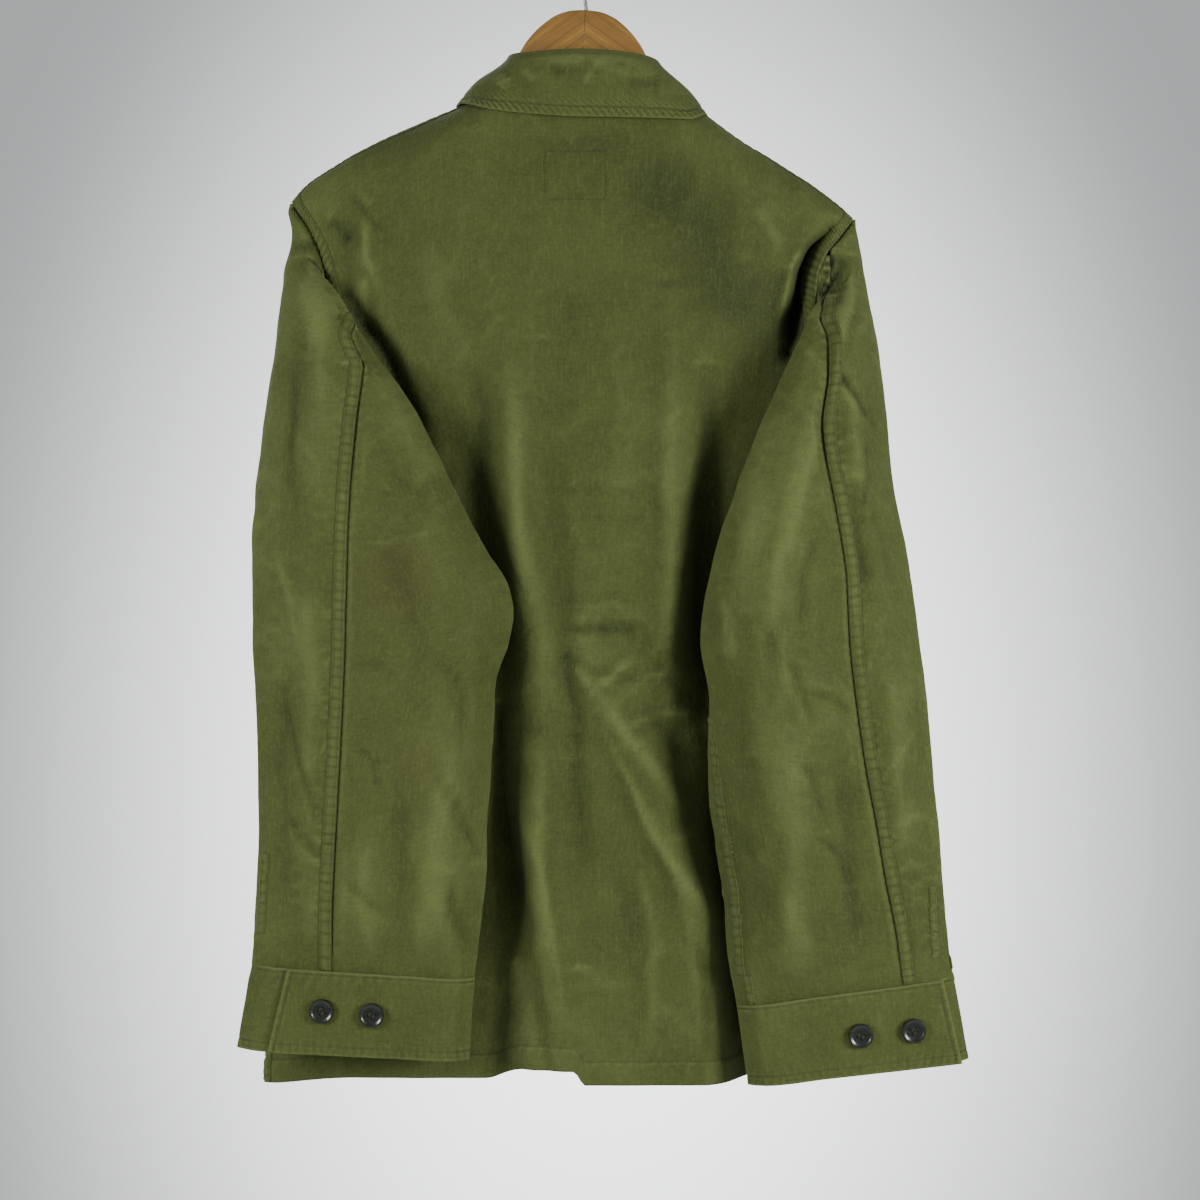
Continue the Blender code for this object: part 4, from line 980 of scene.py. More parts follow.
class ClothGrid:
    """A panel of cloth as rows of points on its form, with its relief worked in."""

    def __init__(
        self, surface: Surface, columns: Sequence[float], rows: Sequence[float], turn: float, relief: Relief
    ) -> None:
        """Lays the points out.

        Args:
            surface: The panel's plain form, read at u across and v down.
            columns: The u of each column.
            rows: The v of each row.
            turn: 1 where u crossed with v points out of the garment, and -1 where it points in.
            relief: What lifts the cloth off its form.
        """
        self.columns, self.rows, self.turn = list(columns), list(rows), turn
        self.base = [[surface(u, v) for u in columns] for v in rows]
        self.across = [running_lengths(row) for row in self.base]
        self.down = [running_lengths([row[i] for row in self.base]) for i in range(len(columns))]
        plain = self.facing(self.base)
        self.lifts = [
            [relief.lift(point, plain[j][i], self.near(j, i)) for i, point in enumerate(row)]
            for j, row in enumerate(self.base)
        ]
        self.points = [
            [
                tucked(relief, point + plain[j][i] * self.lifts[j][i], self.down[i][-1] - self.down[i][j])
                for i, point in enumerate(row)
            ]
            for j, row in enumerate(self.base)
        ]
        self.normals = self.facing(self.points)
        self.relief = relief

    def facing(self, points: list[list[Vector]]) -> list[list[Vector]]:
        """The outward direction at each point of a grid."""
        last_row, last_column = len(points) - 1, len(points[0]) - 1
        found = []
        for j in range(last_row + 1):
            above, below = points[max(j - 1, 0)], points[min(j + 1, last_row)]
            line = []
            for i in range(last_column + 1):
                along = points[j][min(i + 1, last_column)] - points[j][max(i - 1, 0)]
                line.append((along.cross(below[i] - above[i]) * self.turn).normalized())
            found.append(line)
        return found

    def near(self, j: int, i: int) -> dict[Edge, tuple[float, float]]:
        """Each edge's distance from a grid point, and the length along that edge."""
        across, down = self.across[j], self.down[i]
        return {
            Edge.START: (across[i], down[j]),
            Edge.END: (across[-1] - across[i], down[j]),
            Edge.TOP: (down[j], across[i]),
            Edge.BOTTOM: (down[-1] - down[j], across[i]),
        }

    def wear_and_shade(self, j: int, i: int) -> float:
        """How much the cloth at a grid point is rubbed pale, and painted with highlight on ridges and shade in
        hollows, from -2 deep in a fold to 1 on a ridge.
        """
        rows, columns = len(self.rows) - 1, len(self.columns) - 1
        around = (
            self.points[max(j - 1, 0)][i] + self.points[min(j + 1, rows)][i]
            + self.points[j][max(i - 1, 0)] + self.points[j][min(i + 1, columns)]
        ) * 0.25
        edge = min(place[0] for place in self.near(j, i).values())
        rubbed = self.relief.rubbed_edges * bell(edge, 0.0013)
        if j in (0, rows) or i in (0, columns):
            return rubbed
        # Convex crowns rub pale and concave ones take painted shade; the lift of the creases adds painted shade along
        # troughs and painted highlight along ridges
        size = (self.points[j][i + 1] - self.points[j][i - 1]).length + 1e-6
        crown = (self.points[j][i] - around).dot(self.normals[j][i]) / size
        lifted = self.relief.shading * self.lifts[j][i]
        return min(max(self.relief.rubbing_and_hollow_shade * crown + lifted + rubbed, -2.0), 1.0)

    def at(self, u: float, v: float) -> tuple[Vector, Vector]:
        """The dressed cloth's point and outward direction at u and v."""
        column, row = place_at(self.columns, u), place_at(self.rows, v)
        i, j = min(int(column), len(self.columns) - 2), min(int(row), len(self.rows) - 2)
        s, t = column - i, row - j

        def blend(grid: list[list[Vector]]) -> Vector:
            """The value between a grid's four points."""
            return grid[j][i].lerp(grid[j][i + 1], s).lerp(grid[j + 1][i].lerp(grid[j + 1][i + 1], s), t)

        return blend(self.points), blend(self.normals).normalized()

    def beside(self, edge: Edge, share: float, distance: float) -> tuple[float, float]:
        """Finds the place at a distance in from an edge.

        Args:
            edge: The edge to measure from.
            share: How far along the edge, in its own u or v.
            distance: How far in from it, in metres along the cloth.

        Returns:
            The place's u and v.
        """
        upright = edge in (Edge.START, Edge.END)
        places, lines, others = (
            (self.rows, self.across, self.columns) if upright else (self.columns, self.down, self.rows)
        )
        line = place_at(places, share)
        i = min(int(line), len(places) - 2)
        spots = []
        for lengths in (lines[i], lines[i + 1]):
            target = distance if edge in (Edge.START, Edge.TOP) else lengths[-1] - distance
            spot = place_at(lengths, target)
            k = min(int(spot), len(others) - 2)
            spots.append(others[k] + (others[k + 1] - others[k]) * (spot - k))
        found = spots[0] + (spots[1] - spots[0]) * (line - i)
        return (found, share) if upright else (share, found)

    def moved(self, u: float, v: float, distance: float) -> tuple[float, float]:
        """The u and v at a distance in metres along a row from a place."""
        lengths = self.across[round(place_at(self.rows, v))]
        spot = place_at(self.columns, u)
        k = min(int(spot), len(lengths) - 2)
        spot = place_at(lengths, lengths[k] + (lengths[k + 1] - lengths[k]) * (spot - k) + distance)
        k = min(int(spot), len(lengths) - 2)
        return self.columns[k] + (self.columns[k + 1] - self.columns[k]) * (spot - k), v

    def share_at_height(self, edge: Edge, z: float) -> float:
        """The share down an upright edge at which it comes to a height."""
        i = 0 if edge is Edge.START else len(self.columns) - 1
        falling = [-row[i].z for row in self.base]
        spot = place_at(falling, -z)
        k = min(int(spot), len(self.rows) - 2)
        return self.rows[k] + (self.rows[k + 1] - self.rows[k]) * (spot - k)

    def on_top(self, x: float, z: float) -> tuple[Vector, Vector]:
        """The cloth's point and outward direction nearest to X and Z, on whichever layer lies furthest back."""
        spots = [
            (math.hypot(point.x - x, point.z - z) - 0.25 * point.y, j, i)
            for j, row in enumerate(self.points)
            for i, point in enumerate(row)
            if abs(point.x - x) < 0.006 and abs(point.z - z) < 0.006 and self.normals[j][i].y > 0.3
        ]
        _, j, i = min(spots)
        return self.points[j][i], self.normals[j][i]

    @property
    def cut(self) -> tuple[float, float, float]:
        """The flat width, length and area that the panel is cut to."""
        area = 0.0
        for upper, lower in zip(self.base, self.base[1:]):
            for a, b, c, d in zip(upper, upper[1:], lower[1:], lower):
                area += 0.5 * (c - a).cross(d - b).length
        width, length = max(row[-1] for row in self.across), max(column[-1] for column in self.down)
        return round(width + 0.0005, 3), round(length + 0.0005, 3), area


# Finishes ------------------------------------------------------------------------------------------------------------


def linear(colour: str) -> tuple[float, float, float, float]:
    """Turns an sRGB hex colour into linear red, green, blue and alpha."""
    channels = [int(colour[i : i + 2], 16) / 255.0 for i in (1, 3, 5)]
    return (*(c / 12.92 if c <= 0.04045 else ((c + 0.055) / 1.055) ** 2.4 for c in channels), 1.0)


def add_node(tree: bpy.types.NodeTree, kind: str, settings: dict = {}, inputs: dict = {}) -> bpy.types.Node:
    """Adds one node with its settings and what feeds it.

    Args:
        tree: The node tree to add to.
        kind: The node's type name.
        settings: The node's own properties.
        inputs: Values or sockets for its inputs, by name or number.

    Returns:
        The new node.
    """
    node = tree.nodes.new(kind)
    for name, value in settings.items():
        setattr(node, name, value)
    for name, value in inputs.items():
        if isinstance(value, bpy.types.NodeSocket):
            tree.links.new(value, node.inputs[name])
        else:
            node.inputs[name].default_value = value
    return node


def new_material(name: str) -> tuple[bpy.types.Material, bpy.types.NodeTree, bpy.types.Node]:
    """A node material with its tree and its Principled shader."""
    made = bpy.data.materials.new(name)
    made.use_nodes = True
    return made, made.node_tree, made.node_tree.nodes["Principled BSDF"]


def mix(tree: bpy.types.NodeTree, factor, first, second, blend: str = "MIX") -> bpy.types.NodeSocket:
    """A colour mixed from two, by a factor that is a socket or a number.

    Args:
        tree: The node tree.
        factor: How much of the second shows.
        first: The first colour.
        second: The second colour.
        blend: The way they mix.

    Returns:
        The mixed colour's socket.
    """
    settings = {"data_type": "RGBA", "blend_type": blend}
    return add_node(tree, "ShaderNodeMix", settings, {0: factor, 6: first, 7: second}).outputs[2]


def ranged(tree: bpy.types.NodeTree, value, low: float, high: float, to_low: float, to_high: float):
    """A value's range stretched onto another one, clamped at both ends.

    Args:
        tree: The node tree.
        value: The socket to read.
        low: The value that becomes to_low.
        high: The value that becomes to_high.
        to_low: The new lower value.
        to_high: The new upper value.

    Returns:
        The stretched value's socket.
    """
    inputs = {"Value": value, "From Min": low, "From Max": high, "To Min": to_low, "To Max": to_high}
    return add_node(tree, "ShaderNodeMapRange", {"clamp": True}, inputs).outputs["Result"]


def grain(tree: bpy.types.NodeTree, place, size: tuple[float, float, float], detail: float = 2.0):
    """Noise whose grains have a size along each axis, in metres.

    Args:
        tree: The node tree.
        place: The coordinates to read it at.
        size: The grains' sizes.
        detail: How many finer layers it has.

    Returns:
        The noise's value socket.
    """
    scale = tuple(1.0 / s for s in size)
    placed = add_node(tree, "ShaderNodeMapping", {}, {"Vector": place, "Scale": scale}).outputs["Vector"]
    inputs = {"Vector": placed, "Scale": 1.0, "Detail": detail, "Roughness": 0.55}
    return add_node(tree, "ShaderNodeTexNoise", {}, inputs).outputs["Fac"]


def bumped(tree: bpy.types.NodeTree, height, depth: float, strength: float, under=None):
    """A bump that stands on another one.

    Args:
        tree: The node tree.
        height: The height's socket, from 0 to 1.
        depth: What 1 stands for, in metres.
        strength: How strongly it turns the light.
        under: The bump below, if there is one.

    Returns:
        The normal's socket.
    """
    inputs = {"Height": height, "Distance": depth, "Strength": strength}
    if under is not None:
        inputs["Normal"] = under
    return add_node(tree, "ShaderNodeBump", {}, inputs).outputs["Normal"]


@dataclass(frozen=True)
class CottonDrill:
    """Garment-dyed cotton drill, washed soft: uneven in colour, rubbed pale and painted with highlight on its ridges,
    and painted with shade in its hollows.
    """

    mid: str = "#363C17"
    light: str = "#414820"
    # Of the next three colours, the pale one is rubbed wear and the painted highlight on ridges, the dark one is dark
    # threads and the painted shade in hollows, and the near black one is painted shadow deep in folds
    rubbed: str = "#5B6337"
    deep_tone_and_shade: str = "#1E240C"
    painted_fold_shadow: str = "#060802"
    rust: str = "#4C3C20"
    roughness: float = 0.86
    sheen: float = 0.06
    cloud_size: float = 0.060
    mottle_size: float = 0.014
    speck_size: float = 0.0024
    crumple_size: float = 0.009
    slub_length: float = 0.016
    slub_width: float = 0.0016
    twill_pitch: float = 0.0017

    def material(self) -> bpy.types.Material:
        """Builds the cloth's material.

        Returns:
            The material, which reads the panels' metre-wide UVs and their wear and painted shade.
        """
        made, tree, shader = new_material("washed olive cotton drill")
        places = add_node(tree, "ShaderNodeTexCoord")
        solid, flat = places.outputs["Object"], places.outputs["UV"]
        wear_and_shade = add_node(tree, "ShaderNodeAttribute", {"attribute_name": "wear_and_shade"}).outputs["Fac"]
        cloud = grain(tree, solid, (self.cloud_size,) * 3, 3.0)
        mottle = grain(tree, solid, (self.mottle_size,) * 3, 4.0)
        speck = grain(tree, solid, (self.speck_size,) * 3, 2.0)
        warp = grain(tree, flat, (self.slub_width, self.slub_length, 1.0), 2.0)
        weft = grain(tree, flat, (self.slub_length, self.slub_width, 1.0), 2.0)
        # The dye took unevenly: broad clouds and a finer mottle between two olives
        colour = mix(tree, ranged(tree, cloud, 0.35, 0.65, 0.0, 0.55), linear(self.mid), linear(self.light))
        colour = mix(tree, ranged(tree, mottle, 0.35, 0.68, 0.0, 0.34), colour, linear(self.light))
        # Ridges rub pale and get a painted highlight, hollows get painted shade, and the deepest folds are painted
        # near black as shadow
        colour = mix(tree, ranged(tree, wear_and_shade, 0.04, 0.9, 0.0, 0.55), colour, linear(self.rubbed))
        colour = mix(tree, ranged(tree, wear_and_shade, -0.06, -0.9, 0.0, 0.60), colour, linear(self.deep_tone_and_shade))
        colour = mix(tree, ranged(tree, wear_and_shade, -1.2, -2.0, 0.0, 0.95), colour, linear(self.painted_fold_shadow))
        # Thick threads show as short pale and dark dashes both ways
        colour = mix(tree, ranged(tree, warp, 0.52, 0.75, 0.0, 0.20), colour, linear(self.rubbed))
        colour = mix(tree, ranged(tree, weft, 0.25, 0.48, 0.24, 0.0), colour, linear(self.deep_tone_and_shade))
        # Washing left the threads' crowns paler in tiny specks
        colour = mix(tree, ranged(tree, speck, 0.50, 0.72, 0.0, 0.16), colour, linear(self.rubbed))
        colour = mix(tree, ranged(tree, speck, 0.28, 0.48, 0.14, 0.0), colour, linear(self.deep_tone_and_shade))
        for centre, size in (((0.142, 0.078, -0.506), 0.040), ((0.122, 0.074, -0.646), 0.022)):
            # A faint rusty bloom on the left sleeve
            apart = add_node(tree, "ShaderNodeVectorMath", {"operation": "DISTANCE"}, {0: solid, 1: centre})
            bloom = ranged(tree, apart.outputs["Value"], 0.2 * size, size, 0.16, 0.0)
            colour = mix(tree, bloom, colour, linear(self.rust))
        tree.links.new(colour, shader.inputs["Base Color"])
        rough = ranged(tree, mottle, 0.3, 0.7, self.roughness - 0.06, self.roughness + 0.05)
        tree.links.new(rough, shader.inputs["Roughness"])
        shader.inputs["Specular IOR Level"].default_value = 0.20
        shader.inputs["Sheen Weight"].default_value = self.sheen
        shader.inputs["Sheen Roughness"].default_value = 0.55
        shader.inputs["Sheen Tint"].default_value = linear("#B9C39A")
        # Twill lines are really about 0.7 mm apart, and are drawn coarser so that they hold in a render
        twist = {"wave_type": "BANDS", "bands_direction": "DIAGONAL", "wave_profile": "SIN"}
        twill_inputs = {"Vector": flat, "Scale": 2.0 * math.pi / (20.0 * self.twill_pitch), "Distortion": 1.2}
        twill = add_node(tree, "ShaderNodeTexWave", twist, twill_inputs).outputs["Fac"]
        creased = grain(tree, solid, (self.crumple_size, self.crumple_size, 1.4 * self.crumple_size), 3.0)
        normal = bumped(tree, creased, 0.0020, 0.60)
        normal = bumped(tree, mottle, 0.0016, 0.40, normal)
        normal = bumped(tree, speck, 0.0003, 0.15, normal)
        normal = bumped(tree, warp, 0.00035, 0.35, normal)
        normal = bumped(tree, weft, 0.00035, 0.35, normal)
        tree.links.new(bumped(tree, twill, 0.00012, 0.25, normal), shader.inputs["Normal"])
        return made


@dataclass(frozen=True)
class SewingThread:
    """Polyester-wrapped sewing thread: a little lighter and shinier than the cloth it sinks into."""

    colour: str = "#393E1D"
    dark: str = "#20250F"
    twist_pitch: float = 0.0009

    def material(self) -> bpy.types.Material:
        """Builds the thread's material.

        Returns:
            The material, with the thread's twist as fine bands.
        """
        made, tree, shader = new_material("olive sewing thread")
        solid = add_node(tree, "ShaderNodeTexCoord").outputs["Object"]
        twist = grain(tree, solid, (self.twist_pitch,) * 3, 1.0)
        colour = mix(tree, ranged(tree, twist, 0.35, 0.65, 0.0, 1.0), linear(self.dark), linear(self.colour))
        tree.links.new(colour, shader.inputs["Base Color"])
        shader.inputs["Roughness"].default_value = 0.62
        tree.links.new(bumped(tree, twist, 0.0002, 0.5), shader.inputs["Normal"])
        return made


@dataclass(frozen=True)
class PolishedHorn:
    """Dyed horn buttons: near-black green with paler streaks, polished under a thin gloss."""

    dark: str = "#070A05"
    streak: str = "#161C10"
    roughness: float = 0.26

    def material(self) -> bpy.types.Material:
        """Builds the buttons' material.

        Returns:
            The material, with streaks across the button and faint scuffs.
        """
        made, tree, shader = new_material("dark dyed horn")
        solid = add_node(tree, "ShaderNodeTexCoord").outputs["Object"]
        streaks = grain(tree, solid, (0.009, 0.009, 0.0016), 3.0)
        scuffs = grain(tree, solid, (0.0007,) * 3, 2.0)
        colour = mix(tree, ranged(tree, streaks, 0.42, 0.70, 0.0, 1.0), linear(self.dark), linear(self.streak))
        tree.links.new(colour, shader.inputs["Base Color"])
        rough = ranged(tree, scuffs, 0.35, 0.75, self.roughness, self.roughness + 0.18)
        tree.links.new(rough, shader.inputs["Roughness"])
        shader.inputs["Specular IOR Level"].default_value = 0.35
        shader.inputs["Coat Weight"].default_value = 0.35
        shader.inputs["Coat Roughness"].default_value = 0.08
        tree.links.new(bumped(tree, scuffs, 0.00008, 0.25), shader.inputs["Normal"])
        return made


@dataclass(frozen=True)
class OiledBeech:
    """Oiled beech whose grain slopes down and outwards on both halves, with short dark flecks."""

    pale: str = "#856223"
    mid: str = "#6C4B16"
    dark: str = "#472D0B"
    slope: float = 0.70
    ring_width: float = 0.0045

    def material(self) -> bpy.types.Material:
        """Builds the wood's material.

        Returns:
            The material, mirrored about the joint at X = 0.
        """
        made, tree, shader = new_material("oiled beech")
        solid = add_node(tree, "ShaderNodeTexCoord").outputs["Object"]
        split = add_node(tree, "ShaderNodeSeparateXYZ", {}, {0: solid})
        out = add_node(tree, "ShaderNodeMath", {"operation": "ABSOLUTE"}, {0: split.outputs["X"]}).outputs[0]
        sloped = {"operation": "MULTIPLY_ADD"}
        across = add_node(tree, "ShaderNodeMath", sloped, {0: out, 1: self.slope, 2: split.outputs["Z"]}).outputs[0]
        along = add_node(tree, "ShaderNodeMath", sloped, {0: split.outputs["Z"], 1: -self.slope, 2: out}).outputs[0]
        place = add_node(
            tree, "ShaderNodeCombineXYZ", {}, {"X": along, "Y": split.outputs["Y"], "Z": across}
        ).outputs[0]
        rings = grain(tree, place, (0.120, 0.020, self.ring_width), 3.0)
        fibres = grain(tree, place, (0.022, 0.004, 0.0007), 2.0)
        flecks = grain(tree, place, (0.0045, 0.003, 0.0006), 1.0)
        patches = grain(tree, solid, (0.05, 0.02, 0.03), 2.0)
        colour = mix(tree, ranged(tree, rings, 0.36, 0.64, 0.0, 1.0), linear(self.pale), linear(self.mid))
        colour = mix(tree, ranged(tree, fibres, 0.50, 0.72, 0.0, 0.45), colour, linear(self.dark))
        colour = mix(tree, ranged(tree, flecks, 0.62, 0.74, 0.0, 0.55), colour, linear(self.dark))
        colour = mix(tree, ranged(tree, patches, 0.45, 0.75, 0.0, 0.30), colour, linear(self.dark))
        tree.links.new(colour, shader.inputs["Base Color"])
        tree.links.new(ranged(tree, fibres, 0.3, 0.7, 0.40, 0.56), shader.inputs["Roughness"])
        shader.inputs["Coat Weight"].default_value = 0.12
        shader.inputs["Coat Roughness"].default_value = 0.35
        tree.links.new(bumped(tree, fibres, 0.00015, 0.35), shader.inputs["Normal"])
        return made


@dataclass(frozen=True)
class PlatedSteel:
    """Nickel-plated wire: bright, with faint drawing lines and a few dull spots."""

    bright: str = "#C4C3BE"
    dull: str = "#8E8C86"

    def material(self) -> bpy.types.Material:
        """Builds the wire's material.

        Returns:
            The metallic material.
        """
        made, tree, shader = new_material("plated steel wire")
        solid = add_node(tree, "ShaderNodeTexCoord").outputs["Object"]
        spots = grain(tree, solid, (0.004,) * 3, 3.0)
        lines = grain(tree, solid, (0.0004, 0.0004, 0.006), 1.0)
        colour = mix(tree, ranged(tree, spots, 0.5, 0.75, 0.0, 0.7), linear(self.bright), linear(self.dull))
        tree.links.new(colour, shader.inputs["Base Color"])
        tree.links.new(ranged(tree, spots, 0.4, 0.75, 0.20, 0.42), shader.inputs["Roughness"])
        shader.inputs["Metallic"].default_value = 1.0
        tree.links.new(bumped(tree, lines, 0.00004, 0.3), shader.inputs["Normal"])
        return made


@dataclass(frozen=True)
class PaleFloor:
    """A matt pale grey studio floor with a barely uneven tone."""

    colour: str = "#C9CBCC"
    shade: str = "#BFC2C4"

    def material(self) -> bpy.types.Material:
        """Builds the floor's material.

        Returns:
            The matt material.
        """
        made, tree, shader = new_material("pale studio floor")
        solid = add_node(tree, "ShaderNodeTexCoord").outputs["Object"]
        tone = grain(tree, solid, (0.30,) * 3, 3.0)
        colour = mix(tree, ranged(tree, tone, 0.35, 0.65, 0.0, 1.0), linear(self.colour), linear(self.shade))
        tree.links.new(colour, shader.inputs["Base Color"])
        shader.inputs["Roughness"].default_value = 0.9
        return made


@dataclass(frozen=True)
class Finishes:
    """The materials, each built once."""

    cotton: bpy.types.Material = field(default_factory=lambda: CottonDrill().material())
    thread: bpy.types.Material = field(default_factory=lambda: SewingThread().material())
    horn: bpy.types.Material = field(default_factory=lambda: PolishedHorn().material())
    beech: bpy.types.Material = field(default_factory=lambda: OiledBeech().material())
    steel: bpy.types.Material = field(default_factory=lambda: PlatedSteel().material())
    floor: bpy.types.Material = field(default_factory=lambda: PaleFloor().material())


# Making and placing pieces -------------------------------------------------------------------------------------------


def add_piece(name: str, bm: bmesh.types.BMesh, finish: bpy.types.Material) -> bpy.types.Object:
    """Turns a bmesh into a smooth-shaded piece that rides on the frame.

    Args:
        name: The piece's name.
        bm: Its mesh, in the frame's own place, which is freed.
        finish: Its material.

    Returns:
        The new object.
    """
    mesh = bpy.data.meshes.new(name)
    bm.to_mesh(mesh)
    bm.free()
    mesh.materials.append(finish)
    mesh.shade_smooth()
    made = bpy.data.objects.new(name, mesh)
    bpy.context.scene.collection.objects.link(made)
    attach(made, "root")
    return made


def mapped_grid(columns: int, rows: int, at: Callable[[int, int], tuple[Vector, tuple[float, float], float]],
                flip: bool) -> bmesh.types.BMesh:
    """A flat grid whose points are moved onto a piece's surface.

    Args:
        columns: How many points it has across.
        rows: How many points it has down.
        at: Gives a point's place, UV in metres, and wear with painted shade and highlight, from its row and column.
        flip: Whether its faces are turned over.

    Returns:
        The mesh, with its UVs and its wear with painted shade and highlight.
    """
    bm = bmesh.new()
    wear_and_shade = bm.verts.layers.float.new("wear_and_shade")
    bmesh.ops.create_grid(bm, x_segments=columns - 1, y_segments=rows - 1, size=0.5)
    flat: dict[bmesh.types.BMVert, tuple[float, float]] = {}
    for vert in bm.verts:
        i = round((vert.co.x + 0.5) * (columns - 1))
        j = round((vert.co.y + 0.5) * (rows - 1))
        vert.co, flat[vert], vert[wear_and_shade] = at(j, i)
    uv = bm.loops.layers.uv.verify()
    for face in bm.faces:
        for loop in face.loops:
            loop[uv].uv = flat[loop.vert]
    if flip:
        bmesh.ops.reverse_faces(bm, faces=bm.faces[:])
    return bm


def panel(name: str, grid: ClothGrid, wall: float, finish: bpy.types.Material) -> bpy.types.Object:
    """A panel of cloth with its thickness.

    Args:
        name: The piece's name.
        grid: Its dressed points.
        wall: The cloth's thickness, which goes inwards.
        finish: Its material.

    Returns:
        The new object.
    """
    middle = len(grid.columns) // 2

    def at(j: int, i: int) -> tuple[Vector, tuple[float, float], float]:
        """A point of the panel."""
        return grid.points[j][i], (grid.across[j][i] - grid.across[j][middle], grid.down[i][j]), grid.wear_and_shade(j, i)

    bm = mapped_grid(len(grid.columns), len(grid.rows), at, flip=grid.turn < 0.0)
    made = add_piece(name, bm, finish)
    thickness = made.modifiers.new("cloth thickness", "SOLIDIFY")
    thickness.thickness = wall
    thickness.offset = -1.0
    thickness.use_even_offset = False
    return made


@dataclass(frozen=True)
class Stitch:
    """One stitch of a row, as a small flattened bead of thread."""

    length: float = 0.0026
    width: float = 0.0007
    height: float = 0.0005
    pitch: float = 0.0033


def sew(name: str, track: Sequence[tuple[Vector, Vector]], finish: bpy.types.Material,
        stitch: Stitch = Stitch()) -> bpy.types.Object:
    """A row of stitches along a track.

    Args:
        name: The piece's name.
        track: Points on the cloth with their outward directions, close together.
        finish: The thread's material.
        stitch: The stitches' size.

    Returns:
        The row as one object.
    """
    bm = bmesh.new()
    lengths = running_lengths([point for point, _ in track])
    for k in range(max(int(lengths[-1] / stitch.pitch), 1)):
        spots = [place_at(lengths, k * stitch.pitch + part * stitch.length) for part in (0.0, 0.5, 1.0)]
        ends = []
        for spot in spots:
            i = min(int(spot), len(track) - 2)
            ends.append([a.lerp(b, spot - i) for a, b in zip(track[i], track[i + 1])])
        along = (ends[2][0] - ends[0][0]).normalized()
        side = ends[1][1].cross(along).normalized()
        turned = Matrix((along, side, along.cross(side))).transposed().to_4x4()
        sized = Matrix.Diagonal((stitch.length, stitch.width, stitch.height, 1.0))
        place = Matrix.Translation(ends[1][0]) @ turned @ sized
        bmesh.ops.create_icosphere(bm, subdivisions=1, radius=0.5, matrix=place)
    return add_piece(name, bm, finish)


@dataclass
class FelledSeam:
    """A flat-felled seam: a raised strip along a route on a panel, held by rows of stitches that pucker it."""

    grid: ClothGrid
    route: Callable[[float, float], tuple[float, float]]
    width: float = 0.0100
    rise: float = 0.0011
    pucker: float = 0.00045
    pitch: float = 0.0076
    bar: float = 0.0010
    slant: float = 0.10
    stitch_insets: tuple[float, ...] = (0.0018, 0.0080)
    sample: float = 0.0009

    @classmethod
    def beside(cls, grid: ClothGrid, edge: Edge, begin: float, end: float, inset: float, **sizes: float) -> FelledSeam:
        """A seam at a distance in from a panel's edge, between two shares of that edge."""
        return cls(grid, lambda along, across: grid.beside(edge, begin + (end - begin) * along, inset + across), **sizes)

    def height(self, across: float, along: float) -> float:
        """How far the strip stands off the cloth at a place across it and along it."""
        edges = smooth(across / 0.0009) * smooth((self.width - across) / 0.0012)
        pressed = sum(bell(across - inset, 0.0007) for inset in self.stitch_insets)
        drift = 0.30 * noise.noise(Vector((along / 0.03, 5.0, self.width)))
        turn = (along + self.slant * across) / self.pitch + drift
        apart = abs(turn - round(turn)) * self.pitch
        strength = 0.9 + 0.7 * noise.noise(Vector((along / 0.02, 1.0, 9.0)))
        cushion = 0.35 - bell(apart, self.bar)
        return -0.0004 + edges * (self.rise + 0.0004 + self.pucker * cushion * strength) - 0.00030 * pressed

    def length(self) -> float:
        """The strip's length along its route."""
        return running_lengths([self.grid.at(*self.route(k / 40, 0.0))[0] for k in range(41)])[-1]

    def spot(self, along: float, across: float, length: float) -> tuple[Vector, Vector]:
        """The strip's point and outward direction at a share along it and a distance across it."""
        point, normal = self.grid.at(*self.route(along, across))
        return point + normal * self.height(across, along * length), normal

    def build(self, name: str, finishes: Finishes) -> list[bpy.types.Object]:
        """Makes the strip and its stitches.

        Args:
            name: The seam's name.
            finishes: The materials.

        Returns:
            The strip, then its rows of stitches.
        """
        length = self.length()
        steps = max(int(length / self.sample), 4)
        across = [0.0, 0.0005, 0.0010, 0.0018, 0.38 * self.width, 0.5 * self.width, 0.62 * self.width]
        across += [self.width - d for d in (0.0022, 0.0014, 0.0006, 0.0)]

        def at(j: int, i: int) -> tuple[Vector, tuple[float, float], float]:
            """A point of the strip."""
            along = j / steps
            # The strip is paler overall, rubbed pale along its folded edge and on its puckers' crests, and takes
            # painted shade in the dips between them
            wave = self.height(across[i], along * length) - self.rise
            wear_and_shade = min(max(1300.0 * wave + 0.25 + 0.5 * bell(across[i] - 0.0010, 0.0006), -0.7), 1.0)
            return self.spot(along, across[i], length)[0], (across[i], along * length), wear_and_shade

        first, right = self.spot(0.5, 0.0, length)[0], self.spot(0.5, self.width, length)[0]
        below, out = self.spot(0.5 + 1.0 / steps, 0.0, length)
        flip = (right - first).cross(below - first).dot(out) < 0.0
        made = [add_piece(name, mapped_grid(len(across), steps + 1, at, flip), finishes.cotton)]
        for number, inset in enumerate(self.stitch_insets, 1):
            track = [self.spot(k / steps, inset, length) for k in range(steps + 1)]
            made.append(sew(f"{name}_thread_{number}", track, finishes.thread))
        return made


